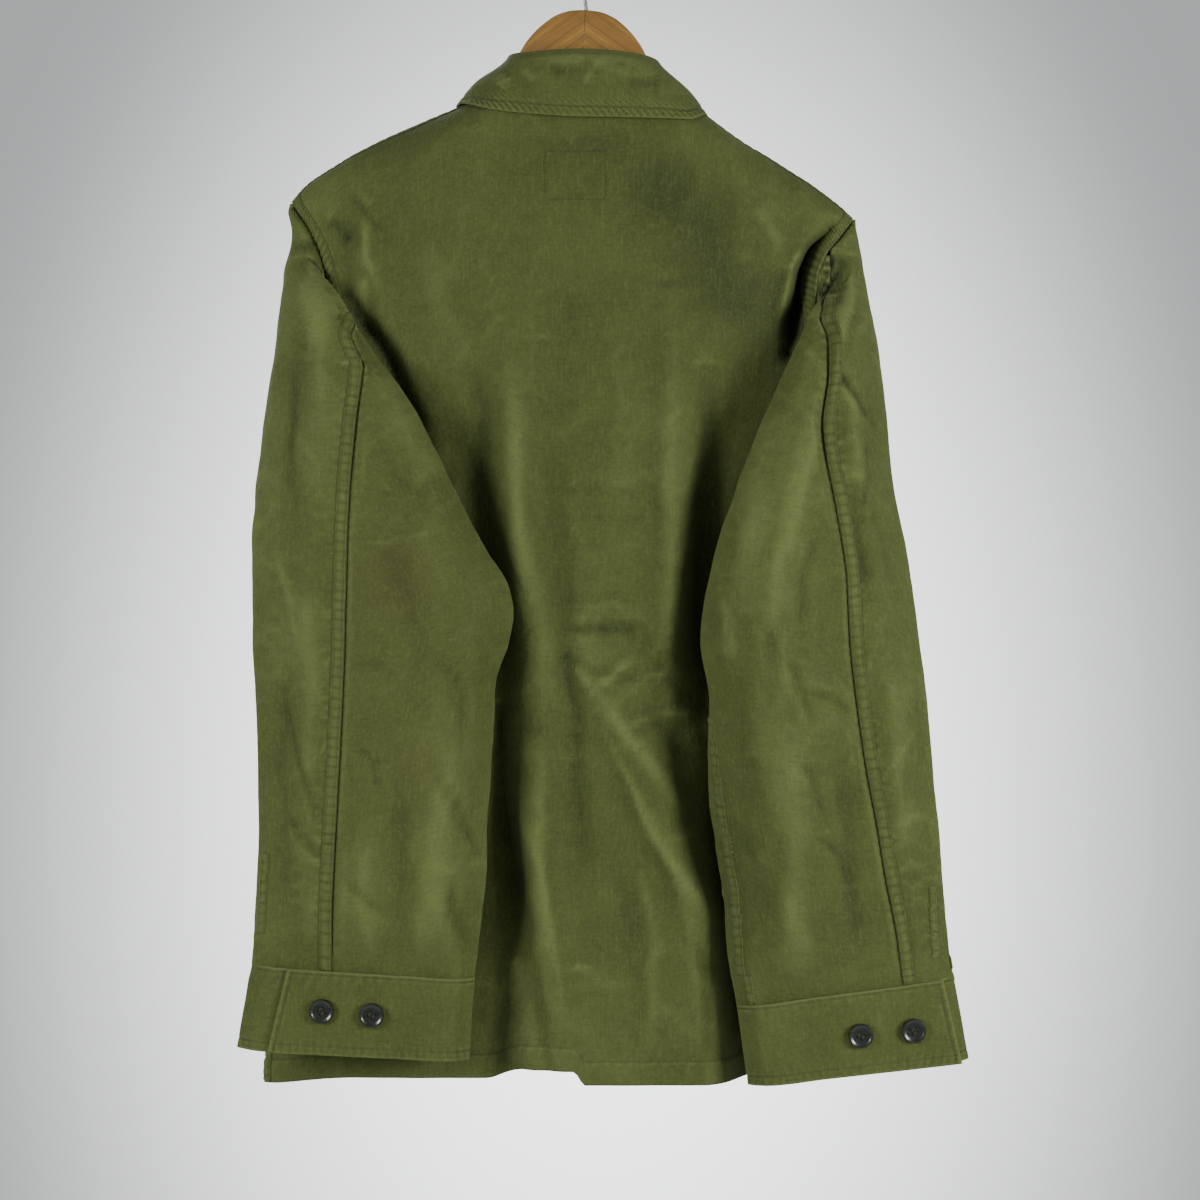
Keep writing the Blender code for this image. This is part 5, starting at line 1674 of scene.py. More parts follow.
def edge_track(grid: ClothGrid, edge: Edge, inset: float, begin: float = 0.0, end: float = 1.0,
               steps: int = 240) -> list[tuple[Vector, Vector]]:
    """A line on a panel at a distance in from an edge.

    Args:
        grid: The panel.
        edge: The edge to follow.
        inset: The distance in from it.
        begin: The share along the edge where it starts.
        end: The share where it ends.
        steps: How finely it is followed.

    Returns:
        Points with their outward directions.
    """
    shares = [begin + (end - begin) * k / steps for k in range(steps + 1)]
    return [grid.at(*grid.beside(edge, share, inset)) for share in shares]


def declare_cloth(made: bpy.types.Object, grid: ClothGrid) -> None:
    """Logs a panel's flat cut.

    Args:
        made: The panel.
        grid: Its points, which give the cut.
    """
    width, length, area = grid.cut
    LOG.info("%s: cut %.3f x %.3f m, %.4f square metres", made.name, width, length, area)


# The jacket's sub-assemblies -----------------------------------------------------------------------------------------


# On every panel a crease's height also paints the cloth's colour through the relief's shading: painted shade along
# troughs, painted highlight along ridges
BACK_CREASES = Creases(
    (
        # Fine horizontal creases across the middle of the back
        Crease(((0.036, -0.4365), (0.002, -0.4365)), 0.0030, -0.0006),
        Crease(((0.018, -0.458), (-0.020, -0.460), (-0.057, -0.457)), 0.0030, -0.0007),
        Crease(((0.022, -0.472), (0.000, -0.478), (-0.025, -0.480)), 0.0034, -0.0006),
        Crease(((0.025, -0.519), (-0.010, -0.521), (-0.047, -0.518)), 0.0034, -0.0008),
        Crease(((-0.052, -0.495), (-0.080, -0.503)), 0.0036, -0.0007),
        # The knot of creases at the waist
        Crease(((0.024, -0.540), (-0.012, -0.545), (-0.047, -0.538)), 0.0060, -0.0011),
        Crease(((0.018, -0.560), (0.004, -0.575)), 0.0060, -0.0015),
        Crease(((0.010, -0.566), (-0.005, -0.588), (-0.034, -0.568)), 0.0056, 0.0010),
        Crease(((-0.008, -0.574), (-0.032, -0.582), (-0.047, -0.576)), 0.0070, -0.0016),
        Crease(((0.020, -0.563), (0.008, -0.612), (0.005, -0.662), (0.005, -0.729)), 0.0080, -0.0018),
        Crease(((-0.014, -0.621), (-0.052, -0.700), (-0.096, -0.770)), 0.0060, 0.0022),
        Crease(((-0.040, -0.596), (-0.066, -0.628), (-0.088, -0.650)), 0.0100, -0.0022),
        Crease(((-0.030, -0.618), (-0.068, -0.606), (-0.092, -0.612)), 0.0045, 0.0014),
        Crease(((0.072, -0.640), (0.064, -0.700), (0.052, -0.780)), 0.0060, -0.0012),
        Crease(((0.064, -0.687), (0.044, -0.770), (0.027, -0.868)), 0.0060, -0.0018),
        Crease(((0.048, -0.668), (0.032, -0.740), (0.018, -0.835)), 0.0060, 0.0018),
        # The pull of the shoulder blades
        Crease(((0.184, -0.206), (0.155, -0.240)), 0.0060, -0.0022),
        Crease(((0.201, -0.227), (0.178, -0.246)), 0.0080, -0.0030),
        Crease(((0.168, -0.261), (0.164, -0.284), (0.166, -0.306)), 0.0055, -0.0018),
        Crease(((0.171, -0.232), (0.163, -0.277)), 0.0050, 0.0016),
        Crease(((-0.164, -0.242), (-0.150, -0.280), (-0.145, -0.315)), 0.0080, -0.0020),
        Crease(((-0.185, -0.248), (-0.176, -0.285)), 0.0055, -0.0016),
        # Broad soft folds, as the light shows them from the shoulder blades to the waist
        Crease(((0.054, -0.353), (0.053, -0.430), (0.050, -0.514), (0.040, -0.556)), 0.014, 0.0036),
        Crease(((0.082, -0.330), (0.080, -0.422), (0.076, -0.500)), 0.013, -0.0042),
        Crease(((-0.063, -0.360), (-0.063, -0.445), (-0.064, -0.521), (-0.067, -0.590)), 0.014, 0.0016),
        Crease(((-0.092, -0.330), (-0.093, -0.407), (-0.091, -0.491), (-0.092, -0.598)), 0.014, -0.0042),
        Crease(((-0.030, -0.180), (-0.085, -0.225), (-0.126, -0.330)), 0.040, -0.0080),
        Crease(((-0.128, -0.215), (-0.150, -0.245), (-0.155, -0.275)), 0.012, 0.0026),
        Crease(((0.186, -0.215), (0.184, -0.292)), 0.011, -0.0026),
        Crease(((0.168, -0.215), (0.168, -0.295)), 0.010, 0.0026),
        Crease(((0.120, -0.230), (0.110, -0.300), (0.112, -0.360)), 0.026, 0.0022),
        Crease(((0.010, -0.250), (0.014, -0.330), (0.012, -0.420)), 0.020, -0.0020),
        Crease(((-0.020, -0.300), (-0.026, -0.380), (-0.024, -0.470)), 0.016, 0.0018),
        # The deep fold beside the right armhole, painted near black as shadow along its depth, and the cloth that
        # rolls over into it
        Crease(
            ((-0.192, -0.234), (-0.181, -0.250), (-0.173, -0.267), (-0.169, -0.284), (-0.162, -0.307), (-0.157, -0.330)),
            0.0072, -0.0300,
        ),
        Crease(((-0.170, -0.246), (-0.160, -0.266), (-0.153, -0.300)), 0.0060, 0.0030),
        # The fold along the left sleeve's inner edge, with painted shadow along it
        Crease(((0.186, -0.286), (0.160, -0.326), (0.143, -0.362), (0.122, -0.404)), 0.0090, -0.0110),
        # Waist and skirt
        Crease(((-0.008, -0.543), (-0.044, -0.546)), 0.0110, -0.0028),
        Crease(((0.009, -0.569), (-0.004, -0.589)), 0.0060, 0.0012),
        Crease(((-0.011, -0.590), (-0.033, -0.570)), 0.0060, 0.0014),
        Crease(((0.019, -0.552), (0.012, -0.600), (0.008, -0.644)), 0.0110, -0.0024),
        Crease(((-0.011, -0.590), (-0.050, -0.651), (-0.080, -0.697)), 0.0100, 0.0030),
        Crease(((-0.050, -0.560), (-0.084, -0.602)), 0.0130, -0.0030),
        Crease(((-0.023, -0.632), (-0.065, -0.690)), 0.0110, -0.0022),
        Crease(((0.036, -0.640), (0.034, -0.720), (0.030, -0.820)), 0.0120, 0.0022),
        Crease(((0.054, -0.590), (0.056, -0.680), (0.052, -0.750)), 0.0140, 0.0030),
        Crease(((-0.022, -0.700), (-0.036, -0.780), (-0.042, -0.870)), 0.0140, -0.0024),
        Crease(((-0.090, -0.720), (-0.100, -0.800), (-0.104, -0.880)), 0.0140, 0.0026),
        # Slack below the collar and down the right side
        Crease(((0.060, -0.165), (0.020, -0.172), (-0.030, -0.168)), 0.0080, -0.0008),
        Crease(((-0.118, -0.430), (-0.125, -0.520), (-0.112, -0.600)), 0.0070, -0.0022),
        Crease(((-0.040, -0.700), (-0.052, -0.790), (-0.050, -0.860)), 0.0090, 0.0016),
        Crease(((-0.084, -0.760), (-0.092, -0.830), (-0.090, -0.885)), 0.0070, -0.0018),
    )
)
FRONT_CREASES = Creases(
    (
        Crease(((0.110, -0.270), (0.075, -0.420), (0.085, -0.560)), 0.012, -0.0030),
        Crease(((0.150, -0.480), (0.120, -0.640), (0.130, -0.820)), 0.014, 0.0030),
        Crease(((0.060, -0.560), (0.075, -0.720), (0.062, -0.880)), 0.010, -0.0026),
        Crease(((-0.120, -0.280), (-0.082, -0.400), (-0.090, -0.540)), 0.012, -0.0030),
        Crease(((-0.165, -0.520), (-0.128, -0.660), (-0.140, -0.850)), 0.014, 0.0030),
        Crease(((-0.058, -0.600), (-0.074, -0.740), (-0.066, -0.880)), 0.010, -0.0024),
        Crease(((0.030, -0.300), (0.062, -0.345), (0.105, -0.352)), 0.0060, -0.0016),
        Crease(((-0.034, -0.430), (-0.070, -0.462), (-0.112, -0.458)), 0.0060, -0.0016),
        Crease(((0.035, -0.640), (0.070, -0.672), (0.110, -0.660)), 0.0055, -0.0015),
    )
)
LEFT_SLEEVE_CREASES = Creases(
    (
        # Broad folds down the sleeve, then the fine creases of its bend
        Crease(((0.214, -0.244), (0.202, -0.300), (0.194, -0.385)), 0.0140, 0.0034),
        Crease(((0.214, -0.330), (0.222, -0.400), (0.220, -0.470)), 0.0110, -0.0032),
        Crease(((0.163, -0.340), (0.135, -0.385), (0.110, -0.440)), 0.0120, 0.0030),
        Crease(((0.150, -0.480), (0.128, -0.530), (0.120, -0.590)), 0.0160, -0.0034),
        Crease(((0.206, -0.500), (0.204, -0.600), (0.206, -0.680)), 0.0120, 0.0026),
        Crease(((0.226, -0.560), (0.228, -0.680), (0.226, -0.760)), 0.0090, -0.0020),
        Crease(((0.160, -0.690), (0.166, -0.750), (0.160, -0.800)), 0.0120, 0.0026),
        Crease(((0.100, -0.640), (0.112, -0.700), (0.108, -0.770)), 0.0120, 0.0030),
        Crease(((0.140, -0.650), (0.136, -0.720), (0.140, -0.790)), 0.0110, -0.0026),
        Crease(((0.169, -0.476), (0.146, -0.478), (0.106, -0.469)), 0.0045, 0.0016),
        Crease(((0.120, -0.491), (0.119, -0.508), (0.115, -0.520), (0.100, -0.524)), 0.0035, -0.0014),
        Crease(((0.175, -0.574), (0.158, -0.572), (0.139, -0.579)), 0.0035, -0.0013),
        Crease(((0.170, -0.632), (0.159, -0.645), (0.145, -0.639)), 0.0035, -0.0016),
        Crease(((0.159, -0.645), (0.157, -0.664)), 0.0035, -0.0015),
        Crease(((0.226, -0.588), (0.214, -0.633), (0.202, -0.680)), 0.0055, -0.0022),
        Crease(((0.111, -0.648), (0.096, -0.684), (0.082, -0.713)), 0.0050, -0.0022),
        Crease(((0.106, -0.731), (0.097, -0.760), (0.084, -0.788)), 0.0055, -0.0022),
        Crease(((0.118, -0.724), (0.096, -0.726)), 0.0040, 0.0013),
        Crease(((0.180, -0.731), (0.160, -0.748), (0.142, -0.762)), 0.0045, -0.0015),
        Crease(((0.226, -0.681), (0.212, -0.700), (0.197, -0.717)), 0.0045, -0.0014),
        Crease(((0.214, -0.257), (0.207, -0.314), (0.207, -0.336)), 0.0070, 0.0015),
        Crease(((0.218, -0.319), (0.221, -0.370), (0.220, -0.424)), 0.0060, -0.0016),
        Crease(((0.112, -0.560), (0.094, -0.585), (0.090, -0.622)), 0.0050, -0.0020),
        Crease(((0.132, -0.600), (0.112, -0.612)), 0.0040, -0.0012),
        Crease(((0.160, -0.392), (0.140, -0.430), (0.118, -0.452)), 0.0070, -0.0014),
        Crease(((0.236, -0.474), (0.222, -0.510), (0.212, -0.560)), 0.0055, 0.0012),
        Crease(((0.130, -0.690), (0.118, -0.745), (0.122, -0.790)), 0.0070, 0.0014),
        Crease(((0.216, -0.745), (0.214, -0.790)), 0.0050, -0.0012),
    )
)
RIGHT_SLEEVE_CREASES = Creases(
    (
        Crease(((-0.199, -0.296), (-0.186, -0.350), (-0.170, -0.410), (-0.150, -0.475), (-0.134, -0.547)), 0.0075, 0.0028),
        Crease(((-0.204, -0.252), (-0.201, -0.285), (-0.193, -0.315), (-0.186, -0.370)), 0.0060, 0.0042),
        Crease(((-0.172, -0.370), (-0.160, -0.420), (-0.146, -0.480)), 0.0100, 0.0030),
        Crease(((-0.190, -0.262), (-0.186, -0.290)), 0.0070, -0.0026),
        Crease(((-0.214, -0.290), (-0.216, -0.360), (-0.226, -0.440)), 0.0100, -0.0012),
        Crease(((-0.202, -0.350), (-0.202, -0.400), (-0.208, -0.450)), 0.0100, 0.0034),
        Crease(((-0.204, -0.420), (-0.206, -0.470), (-0.212, -0.520)), 0.0090, -0.0036),
        Crease(((-0.148, -0.370), (-0.130, -0.430), (-0.118, -0.500)), 0.0120, 0.0030),
        Crease(((-0.118, -0.540), (-0.116, -0.620), (-0.126, -0.700)), 0.0140, -0.0030),
        Crease(((-0.150, -0.620), (-0.156, -0.700), (-0.158, -0.790)), 0.0140, 0.0030),
        Crease(((-0.226, -0.560), (-0.234, -0.640), (-0.240, -0.720)), 0.0100, 0.0026),
        Crease(((-0.190, -0.640), (-0.200, -0.720), (-0.206, -0.790)), 0.0110, -0.0028),
        Crease(((-0.191, -0.346), (-0.206, -0.366), (-0.218, -0.386)), 0.0050, -0.0024),
        Crease(((-0.212, -0.394), (-0.214, -0.428), (-0.212, -0.459)), 0.0055, -0.0020),
        Crease(((-0.218, -0.446), (-0.228, -0.480), (-0.235, -0.514)), 0.0050, -0.0017),
        Crease(((-0.164, -0.588), (-0.182, -0.592), (-0.199, -0.606)), 0.0045, -0.0018),
        Crease(((-0.153, -0.564), (-0.158, -0.584), (-0.168, -0.604)), 0.0045, -0.0020),
        Crease(((-0.160, -0.642), (-0.172, -0.664), (-0.179, -0.688)), 0.0045, -0.0019),
        Crease(((-0.176, -0.699), (-0.192, -0.716), (-0.203, -0.740)), 0.0045, -0.0019),
        Crease(((-0.136, -0.536), (-0.139, -0.570), (-0.136, -0.602)), 0.0055, -0.0016),
        Crease(((-0.150, -0.590), (-0.150, -0.617)), 0.0040, -0.0014),
        Crease(((-0.103, -0.515), (-0.109, -0.569)), 0.0050, 0.0020),
        Crease(((-0.119, -0.647), (-0.128, -0.640)), 0.0050, -0.0014),
        Crease(((-0.173, -0.470), (-0.162, -0.510), (-0.160, -0.545)), 0.0065, -0.0024),
        Crease(((-0.196, -0.520), (-0.205, -0.565), (-0.203, -0.612)), 0.0060, 0.0014),
        Crease(((-0.112, -0.690), (-0.130, -0.722), (-0.136, -0.765)), 0.0070, -0.0016),
        Crease(((-0.150, -0.735), (-0.164, -0.790)), 0.0065, 0.0014),
        Crease(((-0.246, -0.585), (-0.252, -0.640)), 0.0050, -0.0015),
        Crease(((-0.232, -0.740), (-0.245, -0.790)), 0.0050, -0.0013),
    )
)


def mirrored(creases: Creases, drop: float) -> Creases:
    """A similar set of creases for a side that doesn't show, from another sleeve's, moved down."""
    return Creases(
        tuple(
            Crease(tuple((-x, z - drop) for x, z in crease.line), 1.15 * crease.half_width, 0.85 * crease.height)
            for crease in creases.lines
        )
    )


@dataclass
class JacketBody:
    """The back and the two buttoned fronts, with their hem, seams and the stitched outline at the nape."""

    finishes: Finishes
    wall: float = 0.0013
    hem_width: float = 0.018
    front_facing: float = 0.034
    outline_left: float = 0.031
    outline_right: float = -0.016
    outline_top: float = -0.177
    outline_bottom: float = -0.214
    made: list[bpy.types.Object] = field(default_factory=list)

    def build(self) -> list[bpy.types.Object]:
        """Builds the back and the fronts.

        Returns:
            Every piece made.
        """
        self.build_back()
        for side, name in ((1, "left"), (-1, "right")):
            self.build_front(side, name)
        return self.made

    def sew_at(self, grid: ClothGrid, name: str, edge: Edge, insets: Sequence[float], begin: float = 0.0,
               end: float = 1.0) -> list[bpy.types.Object]:
        """Rows of stitches beside an edge of a panel."""
        return [
            sew(f"{name}_{number}", edge_track(grid, edge, inset, begin, end), self.finishes.thread)
            for number, inset in enumerate(insets, 1)
        ]

    def build_back(self) -> None:
        """The back panel, its hem, armholes, side seams and shoulder seams."""
        hem = self.hem_width
        relief = Relief(
            facing_back=BACK_CREASES,
            sewn=(Edge.START, Edge.END, Edge.TOP),
            puckers=(
                Pucker(Edge.BOTTOM, centre=hem, reach=0.006, height=0.0004),
                Pucker(Edge.START, centre=0.011, reach=0.004, height=0.0002, end=0.26),
                Pucker(Edge.END, centre=0.011, reach=0.004, height=0.0002, end=0.26),
                Pucker(Edge.TOP, centre=0.010, reach=0.005, height=0.0002),
            ),
            grooves=(Groove(Edge.BOTTOM, hem, step=0.0007),),
        )
        columns = BODY.back_columns(56, 48)
        rows = spaced((0.0, 0.03, 10), (0.03, 0.962, 190), (0.962, 1.0, 22))
        grid = ClothGrid(BODY.back_surface, columns, rows, 1.0, relief)
        self.back = grid
        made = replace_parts(panel("back_panel", grid, self.wall, self.finishes.cotton), "back")
        sewn = self.sew_at(grid, "back_hem_thread", Edge.BOTTOM, (hem,))
        for side, edge, name in ((1, Edge.END, "left"), (-1, Edge.START, "right")):
            underarm = grid.share_at_height(edge, BODY.point_z(side) - 0.226)
            armhole = FelledSeam.beside(grid, edge, 0.004, underarm, 0.0002, width=0.0105, pucker=0.0006, pitch=0.0045)
            side_seam = FelledSeam.beside(grid, edge, underarm + 0.01, 0.998, 0.0006, width=0.0105)
            neck = (0.5 * BODY.neck_columns + 0.25) / (BODY.neck_columns + 2 * BODY.side_columns)
            ends = (0.5 + neck, 0.995) if side > 0 else (0.005, 0.5 - neck)
            shoulder = FelledSeam.beside(grid, Edge.TOP, *ends, 0.0006, pucker=0.0003)
            sewn += armhole.build(f"armhole_seam_back_{name}", self.finishes)
            sewn += side_seam.build(f"side_seam_{name}", self.finishes)
            sewn += shoulder.build(f"shoulder_seam_{name}", self.finishes)
        sewn += self.stitched_outline(grid)
        declare_cloth(made, grid)
        self.made += [made, *sewn]

    def stitched_outline(self, grid: ClothGrid) -> list[bpy.types.Object]:
        """The plain rectangle of stitches below the collar: its sides sink in, and its top has a doubled run."""
        left, right, top, bottom = self.outline_left, self.outline_right, self.outline_top, self.outline_bottom
        runs = {
            "top": ((right, top), (left, top)),
            "doubled": ((right, top + 0.0012), (0.003, top + 0.0012)),
            "bottom": ((right, bottom), (left, bottom)),
            "left": ((left, top), (left, bottom)),
            "right": ((right, top), (right, bottom)),
        }
        made = []
        for name, (a, b) in runs.items():
            steps = max(int(math.dist(a, b) / 0.0012), 2)
            track: list[tuple[Vector, Vector]] = []
            for k in range(steps + 1):
                x, z = a[0] + (b[0] - a[0]) * k / steps, a[1] + (b[1] - a[1]) * k / steps
                point, normal = grid.on_top(x, z)
                track.append((Vector((x, point.y + 0.0002, z)), normal))
            sunk = name in ("left", "right")
            finish = self.finishes.cotton if sunk else self.finishes.thread
            stitch = Stitch(length=0.0021, width=0.0008, height=0.0004 if sunk else 0.0010, pitch=0.0027)
            made.append(sew(f"nape_outline_{name}", track, finish, stitch))
        return made

    def build_front(self, side: int, name: str) -> None:
        """One front, with its stitched front edge, hem and the front half of its armhole seam.

        Args:
            side: 1 for the wearer's left, -1 for the right.
            name: The side's name.
        """
        relief = Relief(
            facing_front=FRONT_CREASES,
            seed=2.0 + side,
            sewn=(Edge.END, Edge.TOP),
            puckers=(
                Pucker(Edge.BOTTOM, centre=self.hem_width, reach=0.006, height=0.0004),
                Pucker(Edge.START, centre=0.006, reach=0.005, height=0.0002, pitch=0.008),
                Pucker(Edge.END, centre=0.011, reach=0.004, height=0.0002, end=0.26),
            ),
            grooves=(Groove(Edge.BOTTOM, self.hem_width, step=0.0007), Groove(Edge.START, 0.005),
                     Groove(Edge.START, self.front_facing)),
        )
        columns = BODY.front_columns(12, 28, 44)
        rows = spaced((0.0, 0.03, 8), (0.03, 0.965, 160), (0.965, 1.0, 18))
        turn = -1.0 if side > 0 else 1.0
        grid = ClothGrid(functools.partial(BODY.front_surface, side), columns, rows, turn, relief)
        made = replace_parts(panel(f"front_panel_{name}", grid, self.wall, self.finishes.cotton), f"front_{name}")
        sewn = self.sew_at(grid, f"front_edge_thread_{name}", Edge.START, (0.005, self.front_facing), 0.01, 0.995)
        sewn += self.sew_at(grid, f"front_hem_thread_{name}", Edge.BOTTOM, (self.hem_width,))
        underarm = grid.share_at_height(Edge.END, BODY.point_z(side) - 0.226)
        armhole = FelledSeam.beside(grid, Edge.END, 0.004, underarm, 0.0002, width=0.0105, pucker=0.0006, pitch=0.0045)
        sewn += armhole.build(f"armhole_seam_front_{name}", self.finishes)
        declare_cloth(made, grid)
        if side > 0:
            self.front_left = grid
        self.made += [made, *sewn]


@dataclass
class JacketSleeve:
    """One sleeve of two halves, with its felled back seam, its underarm seam and its cuff."""

    finishes: Finishes
    form: SleeveForm
    name: str
    creases: Creases
    hidden_creases: Creases
    strip_start: float
    opening: tuple[float, float, float]
    underarm_line: tuple = ()
    wall: float = 0.0013
    cuff_wall: float = 0.0022
    cuff_clearance: float = 0.0010
    first_row: float = -0.015
    last_row: float = 1.007

    @property
    def turn(self) -> float:
        """Which way the sleeve's grids face."""
        return float(self.form.side)

    def build(self) -> list[bpy.types.Object]:
        """Builds the sleeve and its cuff.

        Returns:
            Every piece made.
        """
        return self.build_top() + self.build_under() + self.build_cuff()

    def build_top(self) -> list[bpy.types.Object]:
        """The outer half, with the back seam's strip along its edge."""
        relief = Relief(
            facing_back=self.creases,
            facing_front=self.hidden_creases,
            seed=4.0 + self.form.side,
            fade=0.010,
            ceiling=self.form.cuff.top_y - self.cuff_clearance,
            puckers=(Pucker(Edge.START, centre=0.0115, reach=0.004, height=0.0002, begin=0.09),
                     Pucker(Edge.BOTTOM, centre=0.0, reach=0.007, height=0.0005)),
            grooves=(Groove(Edge.START, 0.0, depth=0.0010, half_width=0.0012),),
        )
        columns = spaced((0.0, 0.10, 16), (0.10, 1.0, 70))
        rows = spaced((self.first_row, 0.0, 3), (0.0, 0.06, 12), (0.06, 0.95, 160), (0.95, self.last_row, 30))
        grid = ClothGrid(self.form.top_piece, columns, rows, self.turn, relief)
        made = panel(f"sleeve_outer_{self.name}", grid, self.wall, self.finishes.cotton)
        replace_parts(made, f"sleeve_top_{self.name}")
        start = grid.share_at_height(Edge.START, self.strip_start)
        seam = FelledSeam.beside(grid, Edge.START, start, 0.999, 0.0003)
        sewn = seam.build(f"sleeve_back_seam_{self.name}", self.finishes) + self.opening_strip(grid)
        declare_cloth(made, grid)
        self.top = grid
        return [made, *sewn]

    def build_under(self) -> list[bpy.types.Object]:
        """The inner half, with the seam that shows along the sleeve's inner edge."""
        relief = Relief(
            facing_back=self.creases,
            facing_front=self.hidden_creases,
            seed=4.0 + self.form.side,
            fade=0.010,
            ceiling=self.form.cuff.top_y - self.cuff_clearance,
            puckers=(Pucker(Edge.END, centre=0.003, reach=0.004, height=0.0002),
                     Pucker(Edge.BOTTOM, centre=0.0, reach=0.007, height=0.0005)),
            grooves=(Groove(Edge.END, 0.0006, depth=0.0016, half_width=0.0014),),
        )
        columns = spaced((0.0, 0.50, 30), (0.50, 0.94, 40), (0.94, 1.0, 14))
        rows = spaced((0.0, 0.94, 160), (0.94, self.last_row, 30))
        grid = ClothGrid(self.form.under_piece, columns, rows, self.turn, relief)
        made = panel(f"sleeve_inner_{self.name}", grid, self.wall, self.finishes.cotton)
        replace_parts(made, f"sleeve_under_{self.name}")
        sewn = self.underarm_seam(grid) if self.underarm_line else []
        declare_cloth(made, grid)
        return [made, *sewn]

    def opening_strip(self, grid: ClothGrid) -> list[bpy.types.Object]:
        """The stitched strip of the sleeve's opening, just inside its outer fold and above the cuff."""
        top, bottom, reach = self.opening

        def route(along: float, across: float) -> tuple[float, float]:
            """The u and v at a share down the strip and a distance across it."""
            v = place_at([-z for z in self.form.heights], -(top + (bottom - top) * along)) / (len(self.form.heights) - 1)
            row = grid.base[round(place_at(grid.rows, v))]
            fold = max(range(len(row)), key=lambda i: abs(row[i].x))
            i = next(i for i in range(fold, 0, -1) if abs(row[i].x) < reach + 0.003 * along)
            return grid.moved(grid.columns[i], v, -across)

        seam = FelledSeam(grid, route, width=0.0078, rise=0.0009, stitch_insets=(0.0016, 0.0060))
        return seam.build(f"opening_strip_{self.name}", self.finishes)

    def underarm_seam(self, grid: ClothGrid) -> list[bpy.types.Object]:
        """The underarm seam's strip, where it has turned over the inner fold and shows."""
        line, form = Profile(self.underarm_line), self.form
        top, bottom = self.underarm_line[0][0], self.underarm_line[-1][0]
        reaches = [(v, [abs(grid.base[j][i].x) for i in range(len(grid.columns))]) for j, v in enumerate(grid.rows)]

        def route(along: float, across: float) -> tuple[float, float]:
            """The u and v at a share along the strip and a distance across it, from its outer edge inwards."""
            z = top + (bottom - top) * along
            v = place_at([-height for height in form.heights[form.first_under_row :]], -z)
            v /= len(form.heights) - 1 - form.first_under_row
            j = round(place_at(grid.rows, v))
            fold = min(range(len(grid.columns)), key=lambda i: reaches[j][1][i])
            i = next((i for i in range(fold, len(grid.columns) - 1) if reaches[j][1][i] > line(z)), fold)
            return grid.moved(grid.columns[i], v, -across)

        return FelledSeam(grid, route).build(f"underarm_seam_{self.name}", self.finishes)

    def build_cuff(self) -> list[bpy.types.Object]:
        """The cuff, stitched all round."""
        relief = Relief(
            crumpling=0.45,
            rubbing_and_hollow_shade=9.0,
            rubbed_edges=0.8,
            seed=6.0 + self.form.side,
            sewn=(),
            puckers=(
                Pucker(Edge.BOTTOM, centre=0.004, reach=0.006, height=0.0005, pitch=0.0060),
                Pucker(Edge.TOP, centre=0.005, reach=0.007, height=0.0005, pitch=0.0085, slant=0.1),
                Pucker(Edge.START, centre=0.002, reach=0.004, height=0.0003),
            ),
            grooves=(Groove(Edge.BOTTOM, 0.0068), Groove(Edge.TOP, 0.0022, depth=0.0005), Groove(Edge.START, 0.0042)),
        )
        columns = spaced((0.0, 0.03, 6), (0.03, 1.0, 170))
        rows = spaced((0.0, 0.10, 5), (0.10, 0.84, 16), (0.84, 1.0, 9))
        band = CuffForm(self.form.side, self.form.cuff)
        grid = ClothGrid(band.surface, columns, rows, -self.turn, relief)
        made = panel(f"cuff_band_{self.name}", grid, self.cuff_wall, self.finishes.cotton)
        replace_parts(made, f"cuff_{self.name}")
        lines = ((Edge.BOTTOM, 0.0068), (Edge.TOP, 0.0022), (Edge.START, 0.0042))
        sewn = [
            sew(f"cuff_thread_{self.name}_{k}", edge_track(grid, edge, inset, 0.012, 0.985), self.finishes.thread)
            for k, (edge, inset) in enumerate(lines, 1)
        ]
        declare_cloth(made, grid)
        self.cuff = grid
        return [made, *sewn]


